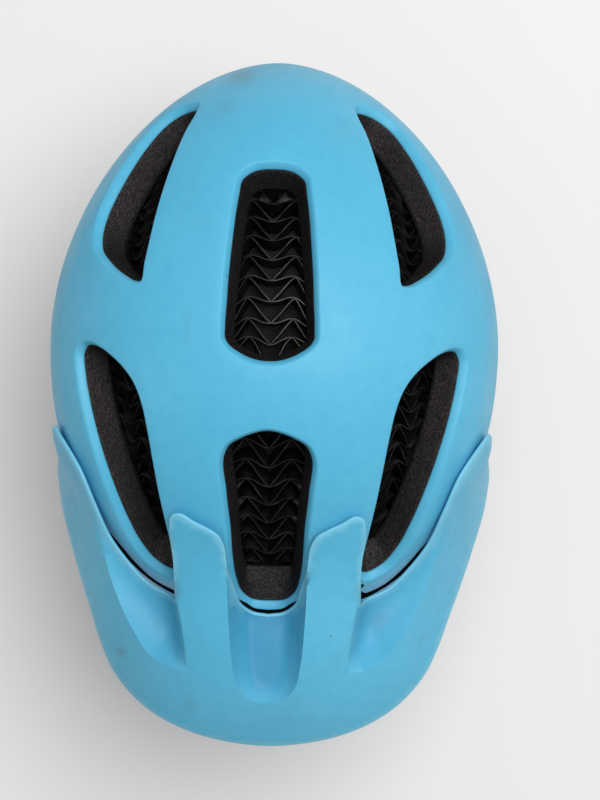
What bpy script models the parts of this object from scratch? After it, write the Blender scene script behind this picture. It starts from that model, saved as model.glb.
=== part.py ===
"""Cycling helmet: outer shells, foam and cell liners, clip-on visor, dial fit system and chin straps.

The origin is the middle of the head opening, at the height of the rear rim. +Z is up, the visor
points to -Y and the wearer's left side is +X. Lengths are in millimetres until Solid.build, which
writes metres.
"""
import math

import bmesh
import bpy
import numpy as np
from mathutils import Matrix, Vector
from mathutils.geometry import delaunay_2d_cdt

MM = 0.001
GAP = 0.3

# Outer surface. Each direction out from the crown is a cubic curve, and these are its three outer
# control rings: plan radius and height at the side, the front and the rear.
CROWN_Z = 163.0
SIDE_RINGS = ((72.0, 163.0), (128.5, 118.0), (102.0, 22.0))
FRONT_RINGS = ((85.0, 163.0), (144.0, 96.0), (137.0, 40.0))
REAR_RINGS = ((92.0, 163.0), (172.0, 92.0), (126.0, 0.0))
FRONT_POWER = 2.15
REAR_POWER = 1.85

# Layers, as depths below the outer surface. Surface positions run from 0 (crown) to 1 (rim).
SHELL = 1.2
FOAM = 17.0
FOAM_AT_RIM = 24.0
CELLS_FROM = 17.7
CELLS_TO = 30.0
CELL_EDGE = 0.77
SHELL_EDGE = 0.925
RIM_POINTS = 56
GRID = 0.086
VENT_ROLL = 2.4
VENT_DROP = 3.0
VENT_DRAFT = 2.0
# The foam's front wall in the front vents slopes back to these v positions.
FRONT_SHELF = -0.62
SIDE_SHELF = -0.555

# Vent outlines, in hundredths of the (u, v) disc. Centre vents give their +u half, front to rear.
TOP_VENT = [(0, -4.9), (6.5, -3.7), (9.7, -1.7), (10.6, -0.3), (10.7, 2.5), (9.8, 8.6), (8.6, 16.5),
            (7.3, 26.9), (6.7, 30.1), (4.6, 31.6), (0, 32)]
FRONT_VENT = [(0, -70.4), (4.8, -69.6), (7.6, -65.4), (9, -57.2), (9.2, -49.1), (9.1, -40.5), (9.5, -31),
              (9.5, -22.2), (8.6, -20.3), (5, -17.6), (0, -16.1)]
SIDE_FRONT_VENT = [(22.4, -58.6), (25.8, -61), (31.4, -59.2), (35.2, -53.6), (38.1, -45.5), (40.5, -38.5),
                   (43.1, -31.7), (45.9, -24.7), (49.2, -16), (51.1, -9.8), (51.8, -3.4), (49.6, -0.8),
                   (46.1, -0.4), (42.3, -1.4), (37.8, -3.7), (33.6, -6.6), (30.2, -10), (27.6, -14.4),
                   (25.7, -19.9), (24.3, -26.3), (23.2, -33.9), (22.3, -41.9), (21.8, -50.4)]
SIDE_REAR_VENT = [(29.6, 12.2), (31.8, 12.2), (36.6, 14.4), (42.4, 18.7), (46.4, 23.1), (47.4, 27.6),
                  (46.4, 33.1), (43.4, 38.9), (39.4, 45.2), (35, 51.4), (30, 56.4), (24.8, 57.4),
                  (20, 56), (17.3, 54), (17.4, 50.3), (19.2, 45.3), (21.2, 38.7), (22.9, 33.3),
                  (24.7, 27.7), (26.4, 22.1), (27.9, 17.2)]
EXHAUST_VENT = [(7.5, 79.8), (19.4, 77.8), (32, 74.4), (37, 76.2), (35.5, 81.2), (29, 85.6),
                (17, 88.9), (9.2, 89.6), (6.8, 85)]

# Visor, in plan. Its top is crowned between a centre line and an outer edge.
VISOR_THICK = 2.0
VISOR_CLEARANCE = 3.8
VISOR_FRONT = 192.4
VISOR_EDGE = [(0, -192.4), (18.5, -190.9), (36, -187), (51, -180.8), (62, -173.8), (70, -166.3),
              (76.6, -158), (83, -145), (88.3, -131), (98.7, -102), (106.3, -75), (107.9, -60), (105.6, -46)]
VISOR_CENTRE = [(-192.4, 88), (-175, 99.5), (-155, 109.5), (-135, 117.5), (-115, 124),
                (-100, 130.5), (-82, 139.5), (-60, 150), (-40, 158)]
VISOR_INNER = [(101, -43.6), (97, -48.5), (88, -62), (82, -77), (75, -94), (66.5, -106), (56, -116),
               (44, -121.5)]
VISOR_PRONG = [(43.6, -102), (44.9, -84), (43.8, -79.9), (40.6, -78.8), (33.3, -82.4), (26.8, -85.6),
               (22.4, -88.4), (19.8, -92.8), (18.6, -98), (16.9, -107.5), (14.6, -117), (12.6, -123.4),
               (8.4, -127.4), (0, -128.8)]
SCOOP_CREASE = [(88, -62), (80.4, -91.6), (74.5, -114.5), (68.5, -129), (61.7, -140.5), (56, -148),
                (50, -151.5), (38, -153.5)]
RIB_EDGE = [(46, -70), (43.5, -101), (42.5, -115), (39.4, -135), (37, -156)]
SIDE_SCOOP_DEPTH = 20.0
SIDE_SCOOP_REACH = 24.0
RIB_WALL = 8.0
CHANNEL_CREASE = [(18.6, -60), (18.4, -100), (17.6, -130), (15.6, -152), (13.8, -160.5), (8.5, -167.2),
                  (0, -169.5), (-8.5, -167.2)]
CHANNEL_DEPTH = (26.0, 7.0)
CHANNEL_RUN = (-125.0, -165.0)
CHANNEL_WALL = 9.0

# Head band and rear cradle: half-widths and reach of the ring around the head.
BAND_SIDE = 73.5
BAND_FRONT = 110.5
BAND_REAR = 91.0
BAND_LEVEL = 22.0
BAND_TILT = 0.26
BAND_THICK = 1.6
BAND_HALF_HEIGHT = 7.0
BAND_END = 110.0
ARM_INSET = 4.0
DEGREE = 1.6
CRADLE_THICK = 2.0

# Dial, on an axis along Y.
DIAL_Z = -18.0
DIAL_RADIUS = 16.0
HOUSING_Y = 88.4
HOUSING_DEPTH = 8.0
KNOB_DEPTH = 7.0
LACE_RADIUS = 0.6

# Webbing and buckle.
WEB_WIDTH = 15.0
WEB_THICK = 1.2
WEB_SECTION = [(-WEB_WIDTH / 2, -WEB_THICK / 2), (WEB_WIDTH / 2, -WEB_THICK / 2),
               (WEB_WIDTH / 2, WEB_THICK / 2), (-WEB_WIDTH / 2, WEB_THICK / 2)]
DIVIDER = Vector((71.0, -6.0, -46.0))
BUCKLE = Vector((0.0, -28.0, -118.0))

BLUE = (0.118, 0.480, 0.716, 1.0)
BLACK = (0.012, 0.012, 0.013, 1.0)
FOAM_GREY = (0.026, 0.026, 0.028, 1.0)
FABRIC = (0.018, 0.018, 0.020, 1.0)
STEEL = (0.55, 0.55, 0.56, 1.0)


# ---------------------------------------------------------------- curves

def closed_curve(points, count):
    """Evenly spaced points on a smooth closed curve through the given points."""
    ends = np.asarray(points, float)
    following = np.roll(ends, -1, axis=0)
    chord = np.linalg.norm(following - ends, axis=1)[:, None]
    slope = (following - ends) / chord
    before = np.roll(chord, 1, axis=0)
    tangent = (slope * before + np.roll(slope, 1, axis=0) * chord) / (chord + before)
    dense = hermite(ends, following, tangent * chord, np.roll(tangent, -1, axis=0) * chord)
    return resample(np.vstack([dense, dense[:1]]), count + 1)[:-1]


def open_curve(points, count):
    """Evenly spaced points on a smooth open curve through the given points."""
    knots = np.asarray(points, float)
    chord = np.linalg.norm(np.diff(knots, axis=0), axis=1)[:, None]
    slope = np.diff(knots, axis=0) / chord
    inner = (slope[1:] * chord[:-1] + slope[:-1] * chord[1:]) / (chord[1:] + chord[:-1])
    tangent = np.vstack([slope[:1], inner, slope[-1:]])
    dense = hermite(knots[:-1], knots[1:], tangent[:-1] * chord, tangent[1:] * chord)
    return resample(np.vstack([dense, knots[-1:]]), count)


def hermite(start, end, leave, arrive):
    """Points along the cubic pieces between each start and end."""
    f = np.linspace(0.0, 1.0, 16, endpoint=False)[None, :, None]
    pieces = ((2 * f**3 - 3 * f**2 + 1) * start[:, None] + (f**3 - 2 * f**2 + f) * leave[:, None]
              + (3 * f**2 - 2 * f**3) * end[:, None] + (f**3 - f**2) * arrive[:, None])
    return pieces.reshape(-1, start.shape[1])


def resample(path, count):
    """The same path with evenly spaced points."""
    run = np.concatenate([[0.0], np.cumsum(np.linalg.norm(np.diff(path, axis=0), axis=1))])
    wanted = np.linspace(0.0, run[-1], count)
    return np.stack([np.interp(wanted, run, path[:, k]) for k in range(path.shape[1])], axis=1)


def inside(points, loop):
    """Which points lie inside a closed loop."""
    x, y = points[:, None, 0], points[:, None, 1]
    a, b = loop[None], np.roll(loop, -1, axis=0)[None]
    rise = np.where(np.abs(b[..., 1] - a[..., 1]) < 1e-12, 1e-12, b[..., 1] - a[..., 1])
    crosses = (a[..., 1] > y) != (b[..., 1] > y)
    left = x < (b[..., 0] - a[..., 0]) * (y - a[..., 1]) / rise + a[..., 0]
    return (crosses & left).sum(axis=1) % 2 == 1


def distance(points, path):
    """Shortest distance from each point to an open path."""
    a, b = path[None, :-1], path[None, 1:]
    run = b - a
    f = ((points[:, None] - a) * run).sum(-1) / np.maximum((run * run).sum(-1), 1e-12)
    nearest = a + np.clip(f, 0.0, 1.0)[..., None] * run
    return np.linalg.norm(points[:, None] - nearest, axis=-1).min(axis=1)


def mirrored(half):
    """A closed outline from its +u half, which starts and ends on the centre line."""
    return half + [(-x, y) for x, y in reversed(half[1:-1])]


def flipped(loop):
    """The same closed outline on the other side, still running anticlockwise."""
    return (loop * (-1.0, 1.0))[::-1]


def smoothstep(low, high, value):
    f = np.clip((value - low) / (high - low), 0.0, 1.0)
    return f * f * (3.0 - 2.0 * f)


# ---------------------------------------------------------------- outer surface

def meridian(t, c, s):
    """Plan radius and height at position t on the curve that leaves the crown towards (c, s)."""
    rear = s >= 0.0
    power = np.where(rear, REAR_POWER, FRONT_POWER)
    reach = np.zeros_like(t)
    height = (1.0 - t)**3 * CROWN_Z
    weights = (3.0 * (1.0 - t)**2 * t, 3.0 * (1.0 - t) * t**2, t**3)
    for weight, side, front, back in zip(weights, SIDE_RINGS, FRONT_RINGS, REAR_RINGS):
        far = np.where(rear, back[0], front[0])
        level = np.where(rear, back[1], front[1])
        radius = ((np.abs(c) / side[0])**power + (np.abs(s) / far)**power)**(-1.0 / power)
        reach = reach + weight * radius
        height = height + weight * (side[1] + (level - side[1]) * s * s)
    return reach, height


def dome(uv):
    """Point on the outer surface: uv has length 0 at the crown and 1 at the rim."""
    t = np.hypot(uv[..., 0], uv[..., 1])
    c = np.where(t > 1e-6, uv[..., 0] / np.maximum(t, 1e-9), 1.0)
    s = np.where(t > 1e-6, uv[..., 1] / np.maximum(t, 1e-9), 0.0)
    reach, height = meridian(t, c, s)
    return np.stack([reach * c, reach * s, height], axis=-1)


def slopes(uv, step=1e-4):
    """Derivatives of the outer surface along u and along v."""
    along_u = dome(uv + (step, 0.0)) - dome(uv - (step, 0.0))
    along_v = dome(uv + (0.0, step)) - dome(uv - (0.0, step))
    return along_u / (2 * step), along_v / (2 * step)


def unit(vectors):
    return vectors / np.linalg.norm(vectors, axis=-1, keepdims=True)


def normal(uv):
    return unit(np.cross(*slopes(uv)))


def skin(uv, depth):
    """Points at a depth below the outer surface; a negative depth is above it."""
    return dome(uv) - normal(uv) * np.broadcast_to(depth, uv.shape[:-1])[..., None]


def inset(loop, width):
    """A closed (u, v) loop moved inwards along the surface by a width."""
    du, dv = slopes(loop)
    ahead = dome(np.roll(loop, -1, axis=0)) - dome(np.roll(loop, 1, axis=0))
    inward = unit(np.cross(unit(np.cross(du, dv)), ahead)) * width
    uu, uv, vv = (du * du).sum(-1), (du * dv).sum(-1), (dv * dv).sum(-1)
    pu, pv = (du * inward).sum(-1), (dv * inward).sum(-1)
    area = uu * vv - uv * uv
    return loop + np.stack([(vv * pu - uv * pv) / area, (uu * pv - uv * pu) / area], axis=-1)


def foam_depth(uv):
    """Depth of the foam's inner face, which thickens towards the rim."""
    return FOAM + (FOAM_AT_RIM - FOAM) * smoothstep(0.82, 1.0, np.hypot(uv[..., 0], uv[..., 1]))


def height_above(x, y, clearance):
    """Height, at a plan position, of the surface that floats a clearance above the outer one."""
    rho = np.maximum(np.hypot(x, y), 1e-6)
    c, s = x / rho, y / rho

    def floating(t):
        reach, height = meridian(t, c, s)
        further, lower = meridian(t + 1e-4, c, s)
        dr, dz = further - reach, lower - height
        size = np.hypot(dr, dz)
        return reach - clearance * dz / size, height + clearance * dr / size

    steps = np.linspace(0.02, 1.0, 99)
    reaches = np.stack([floating(np.full_like(rho, t))[0] for t in steps])
    widest = steps[reaches.argmax(axis=0)]
    low, high = np.zeros_like(rho), widest
    for _ in range(24):
        middle = 0.5 * (low + high)
        short = floating(middle)[0] < rho
        low, high = np.where(short, middle, low), np.where(short, high, middle)
    height = floating(low)[1]
    overhang = np.maximum(rho - reaches.max(axis=0), 0.0)
    return height - 6.0 * overhang


# ---------------------------------------------------------------- solids

def paint(name, colour, roughness, metallic=0.0):
    """A Principled BSDF material."""
    material = bpy.data.materials.new(name)
    material.use_nodes = True
    shader = material.node_tree.nodes["Principled BSDF"]
    shader.inputs["Base Color"].default_value = colour
    shader.inputs["Roughness"].default_value = roughness
    shader.inputs["Metallic"].default_value = metallic
    material.diffuse_color = colour
    return material


class Solid:
    """One closed body, gathered as points in millimetres and faces."""

    def __init__(self):
        self.points = []
        self.faces = []

    def add(self, points):
        """Add points and return their numbers."""
        first = len(self.points)
        self.points.extend(tuple(float(value) for value in point) for point in points)
        return np.arange(first, len(self.points))

    def cover(self, points, triangles):
        """Add a triangulated face and return its points' numbers."""
        numbers = self.add(points)
        self.faces.extend(tuple(int(numbers[corner]) for corner in triangle) for triangle in triangles)
        return numbers

    def bridge(self, *loops):
        """Join closed loops one after another with quads."""
        for here, there in zip(loops[:-1], loops[1:]):
            for i in range(len(here)):
                j = (i + 1) % len(here)
                self.faces.append((int(here[i]), int(here[j]), int(there[j]), int(there[i])))

    def cap(self, loop):
        """Close a loop with one face."""
        self.faces.append(tuple(int(number) for number in loop))

    def build(self, name, material, pivot=None):
        """Make the object, with its origin at the pivot if one is given."""
        origin = Vector(pivot) if pivot is not None else Vector((0.0, 0.0, 0.0))
        mesh = bpy.data.meshes.new(name)
        bm = bmesh.new()
        corners = [bm.verts.new((Vector(point) - origin) * MM) for point in self.points]
        for face in self.faces:
            bm.faces.new([corners[number] for number in face])
        bmesh.ops.delete(bm, geom=[v for v in bm.verts if not v.link_faces], context="VERTS")
        bmesh.ops.triangulate(bm, faces=[f for f in bm.faces if len(f.verts) > 3])
        bmesh.ops.recalc_face_normals(bm, faces=bm.faces[:])
        if bm.calc_volume(signed=True) < 0.0:
            bmesh.ops.reverse_faces(bm, faces=bm.faces[:])
        bm.to_mesh(mesh)
        bm.free()
        mesh.materials.append(material)
        mesh.shade_smooth()
        mesh.set_sharp_from_angle(angle=math.radians(35.0))
        body = bpy.data.objects.new(name, mesh)
        body.location = origin * MM
        bpy.context.scene.collection.objects.link(body)
        return body


def triangulate(loops, spacing, guides=()):
    """Triangles over the first loop's hull. Inside it, edges follow the other loops and the guides
    (open paths), and a grid of points fills the rest."""
    corners = list(np.vstack(loops))
    edges = []
    numbers = []
    first = 0
    for loop in loops:
        count = len(loop)
        numbers.append(np.arange(first, first + count))
        edges += [(first + i, first + (i + 1) % count) for i in range(count)]
        first += count
    for guide in guides:
        corners += list(guide)
        edges += [(first + i, first + i + 1) for i in range(len(guide) - 1)]
        first += len(guide)
    if spacing:
        low, high = loops[0].min(axis=0), loops[0].max(axis=0)
        rows = np.arange(low[1] + spacing / 2, high[1], spacing * math.sqrt(0.75))
        grid = np.array([(x + (row % 2) * spacing / 2, y) for row, y in enumerate(rows)
                         for x in np.arange(low[0] + spacing / 4, high[0], spacing)])
        grid = grid[inside(grid, loops[0])]
        for path in [np.vstack([loop, loop[:1]]) for loop in loops] + list(guides):
            grid = grid[distance(grid, path) > 0.6 * spacing]
        corners += list(grid)
    found = delaunay_2d_cdt([Vector(point) for point in corners], edges, [], 0, 1e-6)
    flat = np.array([tuple(point) for point in found[0]])
    place = {source: i for i, sources in enumerate(found[3]) for source in sources}
    loops_out = [np.array([place[number] for number in loop]) for loop in numbers]
    return flat, np.array([tuple(face) for face in found[2]]), loops_out


def sheet(outline, holes, spacing, place, pocket=None, guides=()):
    """A plate: place(flat points, depth 0 to 1) gives its two faces. A pocket depth stops the holes."""
    solid = Solid()
    flat, triangles, loops = triangulate([outline, *holes], spacing, guides)
    centres = flat[triangles].mean(axis=1)
    whole = inside(centres, outline)
    pierced = whole.copy()
    for hole in holes:
        pierced &= ~inside(centres, hole)
    front = solid.cover(place(flat, 0.0), triangles[pierced])
    back = solid.cover(place(flat, 1.0), triangles[whole if pocket else pierced])
    solid.bridge(front[loops[0]], back[loops[0]])
    for loop in loops[1:]:
        if pocket:
            floor = solid.add(place(flat[loop], pocket))
            solid.bridge(front[loop], floor)
            solid.cap(floor)
        else:
            solid.bridge(front[loop], back[loop])
    return solid


def prism(outline, holes, low, high, frame, pocket=None):
    """A straight plate between two local heights, placed by a frame matrix in millimetres."""
    def place(flat, depth):
        z = high + (low - high) * depth
        return [frame @ Vector((x, y, z)) for x, y in flat]
    return sheet(np.asarray(outline, float), holes, None, place, pocket)


def turned(profile, frame, ring=False, count=28, bumps=0.0):
    """A turned body. The profile is (radius, height) pairs; a ring joins its last pair to its first."""
    solid = Solid()
    loops = []
    for radius, height in profile:
        loop = []
        for i in range(count):
            reach = radius * (1.0 - bumps * (i % 2))
            angle = 2 * math.pi * i / count
            loop.append(frame @ Vector((reach * math.cos(angle), reach * math.sin(angle), height)))
        loops.append(solid.add(loop))
    if ring:
        solid.bridge(*loops, loops[0])
    else:
        solid.bridge(*loops)
        solid.cap(loops[0])
        solid.cap(loops[-1])
    return solid


def sweep(path, across, section):
    """A section of (across, thickness) pairs carried along a path."""
    path = np.asarray(path, float)
    tangent = unit(np.gradient(path, axis=0))
    wide = np.broadcast_to(np.asarray(across, float), path.shape)
    wide = unit(wide - tangent * (wide * tangent).sum(-1, keepdims=True))
    thick = np.cross(tangent, wide)
    solid = Solid()
    loops = [solid.add([p + w * a + k * b for a, b in section]) for p, w, k in zip(path, wide, thick)]
    solid.bridge(*loops)
    solid.cap(loops[0])
    solid.cap(loops[-1])
    return solid


def strap(points, across, count):
    """Flat webbing along a smooth path."""
    return sweep(open_curve(points, count), across, WEB_SECTION)


def round_section(radius, sides=8):
    """A circle for sweep."""
    return [(radius * math.cos(2 * math.pi * i / sides), radius * math.sin(2 * math.pi * i / sides))
            for i in range(sides)]


def rounded(width, height, corner, steps=3):
    """A rectangle with round corners about the origin, anticlockwise."""
    loop = []
    for quarter, (sx, sy) in enumerate(((1, 1), (-1, 1), (-1, -1), (1, -1))):
        for i in range(steps + 1):
            angle = math.pi / 2 * (quarter + i / steps)
            loop.append((sx * (width / 2 - corner) + corner * math.cos(angle),
                         sy * (height / 2 - corner) + corner * math.sin(angle)))
    return np.array(loop)


def circle(radius, count=20):
    """A circle about the origin, anticlockwise."""
    return np.array([(radius * math.cos(2 * math.pi * i / count), radius * math.sin(2 * math.pi * i / count))
                     for i in range(count)])


def frame_at(position, x_axis, y_axis):
    """A matrix with the given axes at a position; its z axis is x cross y."""
    x = Vector(x_axis).normalized()
    z = x.cross(Vector(y_axis)).normalized()
    y = z.cross(x)
    rotation = Matrix((x, y, z)).transposed().to_4x4()
    return Matrix.Translation(Vector(position)) @ rotation


# ---------------------------------------------------------------- shells and liners

def make_cap():
    """The (u, v) triangulation that the shell, foam and cell layers share."""
    angles = np.linspace(0.0, 2 * math.pi, RIM_POINTS, endpoint=False)
    ring = np.stack([np.cos(angles), np.sin(angles)], axis=1)
    vents = [closed_curve(mirrored(TOP_VENT), 22) / 100.0, closed_curve(mirrored(FRONT_VENT), 26) / 100.0]
    for outline, count in ((SIDE_FRONT_VENT, 26), (SIDE_REAR_VENT, 24), (EXHAUST_VENT, 16)):
        loop = closed_curve(outline, count) / 100.0
        vents += [loop, flipped(loop)]
    loops = [ring * SHELL_EDGE, ring * CELL_EDGE] + vents
    uv, triangles, numbers = triangulate(loops, GRID)
    centres = uv[triangles].mean(axis=1)
    solid_area = np.ones(len(triangles), bool)
    for vent in vents:
        solid_area &= ~inside(centres, vent)
    shelves = [-1.0, FRONT_SHELF, SIDE_SHELF, SIDE_SHELF] + [-1.0] * 4
    return {"uv": uv, "rim": numbers[0], "cell_rim": numbers[1], "vents": numbers[2:], "shelves": shelves,
            "outside_vents": triangles[solid_area],
            "cells": triangles[inside(centres, ring * CELL_EDGE)]}


def outer_shell(cap):
    """Thin blue shell over the foam, rolled down into each vent."""
    solid = Solid()
    top = solid.cover(skin(cap["uv"], 0.0), cap["outside_vents"])
    under = solid.cover(skin(cap["uv"], SHELL), cap["outside_vents"])
    solid.bridge(top[cap["rim"]], under[cap["rim"]])
    for vent in cap["vents"]:
        lip = inset(cap["uv"][vent], VENT_ROLL)
        edge = solid.add(skin(lip, VENT_DROP))
        edge_under = solid.add(skin(lip, VENT_DROP + SHELL))
        solid.bridge(top[vent], edge, edge_under, under[vent])
    return solid


def foam_liner(cap):
    """Thick foam body with a wide lip at the rim. The front vents' front walls slope back to a shelf."""
    solid = Solid()
    uv = cap["uv"]
    top = solid.cover(skin(uv, SHELL + GAP), cap["outside_vents"])
    under = solid.cover(skin(uv, foam_depth(uv)), cap["outside_vents"])
    for vent, shelf in zip(cap["vents"], cap["shelves"]):
        lip = inset(uv[vent], VENT_ROLL + GAP)
        foot = inset(uv[vent], VENT_ROLL + GAP + VENT_DRAFT)
        foot[:, 1] = np.maximum(foot[:, 1], shelf)
        wall_top = solid.add(skin(lip, VENT_DROP + SHELL + 2 * GAP))
        wall_foot = solid.add(skin(foot, foam_depth(foot)))
        solid.bridge(top[vent], wall_top, wall_foot, under[vent])
    direction = unit(uv[cap["rim"]])
    rings = [(0.96, SHELL + GAP), (1.0, SHELL + GAP), (1.0, FOAM_AT_RIM), (0.96, None)]
    loops = []
    for t, depth in rings:
        ring = direction * t
        loops.append(solid.add(skin(ring, foam_depth(ring) if depth is None else depth)))
    solid.bridge(top[cap["rim"]], *loops, under[cap["rim"]])
    return solid


def cell_liner(cap):
    """Inner cellular liner, here a plain curved slab of its outer shape."""
    solid = Solid()
    top = solid.cover(skin(cap["uv"], CELLS_FROM), cap["cells"])
    under = solid.cover(skin(cap["uv"], CELLS_TO), cap["cells"])
    solid.bridge(top[cap["cell_rim"]], under[cap["cell_rim"]])
    return solid


def lower_shell(cap):
    """Black band below the outer shell that turns in under the foam's rim."""
    direction = unit(cap["uv"][cap["rim"]])
    down = unit(dome(direction) - dome(direction * 0.999))
    turn_in = 7.0
    profile = [(SHELL_EDGE + 0.002, 0.0, 0.0), (0.965, 0.0, 0.0), (1.0, 0.0, 0.0),
               (1.0, 0.4, GAP + SHELL), (1.0, turn_in, GAP + SHELL), (1.0, turn_in, GAP),
               (1.0, SHELL, GAP), (0.965, SHELL, 0.0), (SHELL_EDGE + 0.002, SHELL, 0.0)]
    solid = Solid()
    loops = [solid.add(skin(direction * t, depth) + down * drop) for t, depth, drop in profile]
    solid.bridge(*loops, loops[0])
    return solid


def surface_pad(outline, depth, thickness):
    """A cushion against the inner face at a depth, from a (u, v) outline."""
    loop = closed_curve(outline, max(16, 2 * len(outline))) / 100.0

    def place(flat, face):
        return skin(flat, depth + thickness * face)
    return sheet(loop, [], 0.13, place)


# ---------------------------------------------------------------- visor

def visor_edge():
    """The visor's outer edge in plan, from the middle of its front to the tip of its arm."""
    beyond = (-VISOR_EDGE[1][0], VISOR_EDGE[1][1])
    line = open_curve([beyond, *VISOR_EDGE], 300)
    return np.vstack([VISOR_EDGE[:1], line[line[:, 0] > 0.1]])


def visor_half_width(y):
    """Half-width of the visor's outer edge."""
    edge = visor_edge()
    return np.interp(y, edge[:, 1], edge[:, 0])


def visor_height(x, y):
    """Height of the visor's top: a crowned brim with ribs, scooped out and kept off the shell."""
    x = np.abs(x)
    plan = np.stack([x, y], axis=-1)
    line = open_curve(VISOR_CENTRE, 60)
    centre = np.interp(y, line[:, 0], line[:, 1])
    forward = np.clip((-40.0 - y) / (VISOR_FRONT - 40.0), 0.0, 1.0)
    edge = 48.0 + 40.0 * forward**1.5
    power = 2.5 + 3.5 * np.exp((y + 50.0) / 34.0)
    across = np.clip(x / np.maximum(visor_half_width(y), 1.0), 0.0, 1.0)
    brim = centre - (centre - edge) * across**power

    crease = open_curve(SCOOP_CREASE, 40)
    rib = open_curve(RIB_EDGE, 20)
    area = np.vstack([crease, rib[::-1]])
    reach = np.minimum(distance(plan, crease) / SIDE_SCOOP_REACH, 1.0)
    depth = SIDE_SCOOP_DEPTH * (1.0 - (1.0 - reach)**2)
    from_rib = np.minimum(distance(plan, rib) / RIB_WALL, 1.0)
    depth *= (1.0 - (1.0 - from_rib)**2) * inside(plan, area)

    channel = open_curve(CHANNEL_CREASE, 80)
    between_ribs = np.vstack([channel, [(-20.0, -167.2), (-20.0, -60.0)]])
    middle = np.interp(-y, np.negative(CHANNEL_RUN), CHANNEL_DEPTH)
    from_crease = np.minimum(distance(plan, channel) / CHANNEL_WALL, 1.0)
    middle *= (1.0 - (1.0 - from_crease)**2) * inside(plan, between_ribs)

    open_top = brim - depth - middle
    shell = height_above(x, y, VISOR_CLEARANCE)
    return 0.5 * (open_top + shell + np.hypot(open_top - shell, 2.0))


def visor_outline(spacing):
    """The visor in plan: outer edge, arm tip, inner edge, prong and centre scoop, then mirrored."""
    outer = visor_edge()
    tip = open_curve([outer[-1], (104.8, -42.4), (103.4, -40.8), VISOR_INNER[0]], 40)
    inner = open_curve(VISOR_INNER, 60)
    prong = open_curve([VISOR_INNER[-1], *VISOR_PRONG], 120)
    pieces = []
    for piece, step in ((outer, spacing), (tip, spacing / 4), (inner, spacing), (prong, spacing / 2)):
        length = np.linalg.norm(np.diff(piece, axis=0), axis=1).sum()
        pieces.append(resample(piece, max(int(length / step), 3) + 1)[:-1])
    half = np.vstack([*pieces, [(0.0, VISOR_PRONG[-1][1])]])
    return np.vstack([half, half[1:-1][::-1] * (-1.0, 1.0)])


def visor():
    """The clip-on visor, one shell of even thickness."""
    def place(flat, face):
        x, y = flat[:, 0], flat[:, 1]
        step = 0.2
        dx = (visor_height(x + step, y) - visor_height(x - step, y)) / (2 * step)
        dy = (visor_height(x, y + step) - visor_height(x, y - step)) / (2 * step)
        up = unit(np.stack([-dx, -dy, np.ones_like(dx)], axis=1))
        top = np.stack([x, y, visor_height(x, y)], axis=1)
        return top - up * VISOR_THICK * face
    guides = []
    for from_edge, start, end in ((1.5, -50.0, -120.0), (4.0, -51.0, -130.0), (8.5, -53.0, -150.0)):
        y = np.arange(start, end, -7.0)
        guide = np.stack([visor_half_width(y) - from_edge, y], axis=1)
        guides += [guide, guide * (-1.0, 1.0)]
    return sheet(visor_outline(9.0), [], 9.0, place, guides=guides)


# ---------------------------------------------------------------- fit system

def around_head(angle, height, inward):
    """Point on the band's ring: the angle runs from 0 at the front to 180 degrees at the rear."""
    turn = np.radians(angle)
    reach = np.where(np.cos(turn) > 0.0, BAND_FRONT, BAND_REAR)
    x, y = BAND_SIDE * np.sin(turn), -reach * np.cos(turn)
    nx, ny = np.sin(turn) / BAND_SIDE, -np.cos(turn) / reach
    size = np.hypot(nx, ny)
    level = BAND_LEVEL - BAND_TILT * y
    return np.stack([x - inward * nx / size, y - inward * ny / size, level + height], axis=-1)


def band(outline, holes, outer, thickness, middle=0.0):
    """A strip around the head; the outline is (angle * DEGREE, height) about the middle angle."""
    def place(flat, face):
        return around_head(flat[:, 0] / DEGREE + middle, flat[:, 1], outer + thickness * face)
    return sheet(np.asarray(outline, float), holes, 12.0, place)


def front_band():
    """Plastic strip across the brow and along the temples."""
    strip = rounded(2 * BAND_END * DEGREE, 2 * BAND_HALF_HEIGHT, 5.0)
    ends = resample(np.vstack([strip, strip[:1]]), 63)[:-1]
    return band(ends, [], -BAND_THICK / 2, BAND_THICK)


def rear_cradle():
    """Cradle behind the head, with two windows and arms that run inside the front band's ends."""
    upper = [(0, 26), (14, 25), (34, 15), (62, 7), (100, 6), (141, 5.5)]
    lower = [(141, -5.5), (100, -6), (66, -10), (42, -26), (20, -35), (0, -36)]
    right = np.vstack([open_curve(upper, 18), open_curve(lower, 18)])
    outline = np.vstack([right, right[1:-1][::-1] * (-1.0, 1.0)])[::-1]
    window = closed_curve([(25, -23), (35, -20), (50, -6), (46, 0), (32, 6), (22, 5)], 14)
    return band(outline, [window, flipped(window)], ARM_INSET - CRADLE_THICK / 2, CRADLE_THICK, 180.0)


def dial_frame(y):
    """Frame whose local +z is +Y, on the dial's axis."""
    return frame_at((0.0, y, DIAL_Z), (1, 0, 0), (0, 0, -1))


def dial_housing():
    """Cup on the back of the cradle, open to the rear, with a screw hole."""
    profile = [(2.2, 0.0), (DIAL_RADIUS + 1.0, 0.0), (DIAL_RADIUS + 1.0, HOUSING_DEPTH),
               (DIAL_RADIUS - 1.0, HOUSING_DEPTH), (DIAL_RADIUS - 1.0, 2.0), (2.2, 2.0)]
    return turned(profile, dial_frame(HOUSING_Y), ring=True, count=32)


def dial_spool():
    """Lace drum inside the housing."""
    profile = [(2.2, 2.4), (9.5, 2.4), (9.5, 3.4), (7.0, 3.9), (7.0, 5.6), (9.5, 6.1), (9.5, 7.1),
               (2.2, 7.1)]
    return turned(profile, dial_frame(HOUSING_Y), ring=True, count=24)


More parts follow.
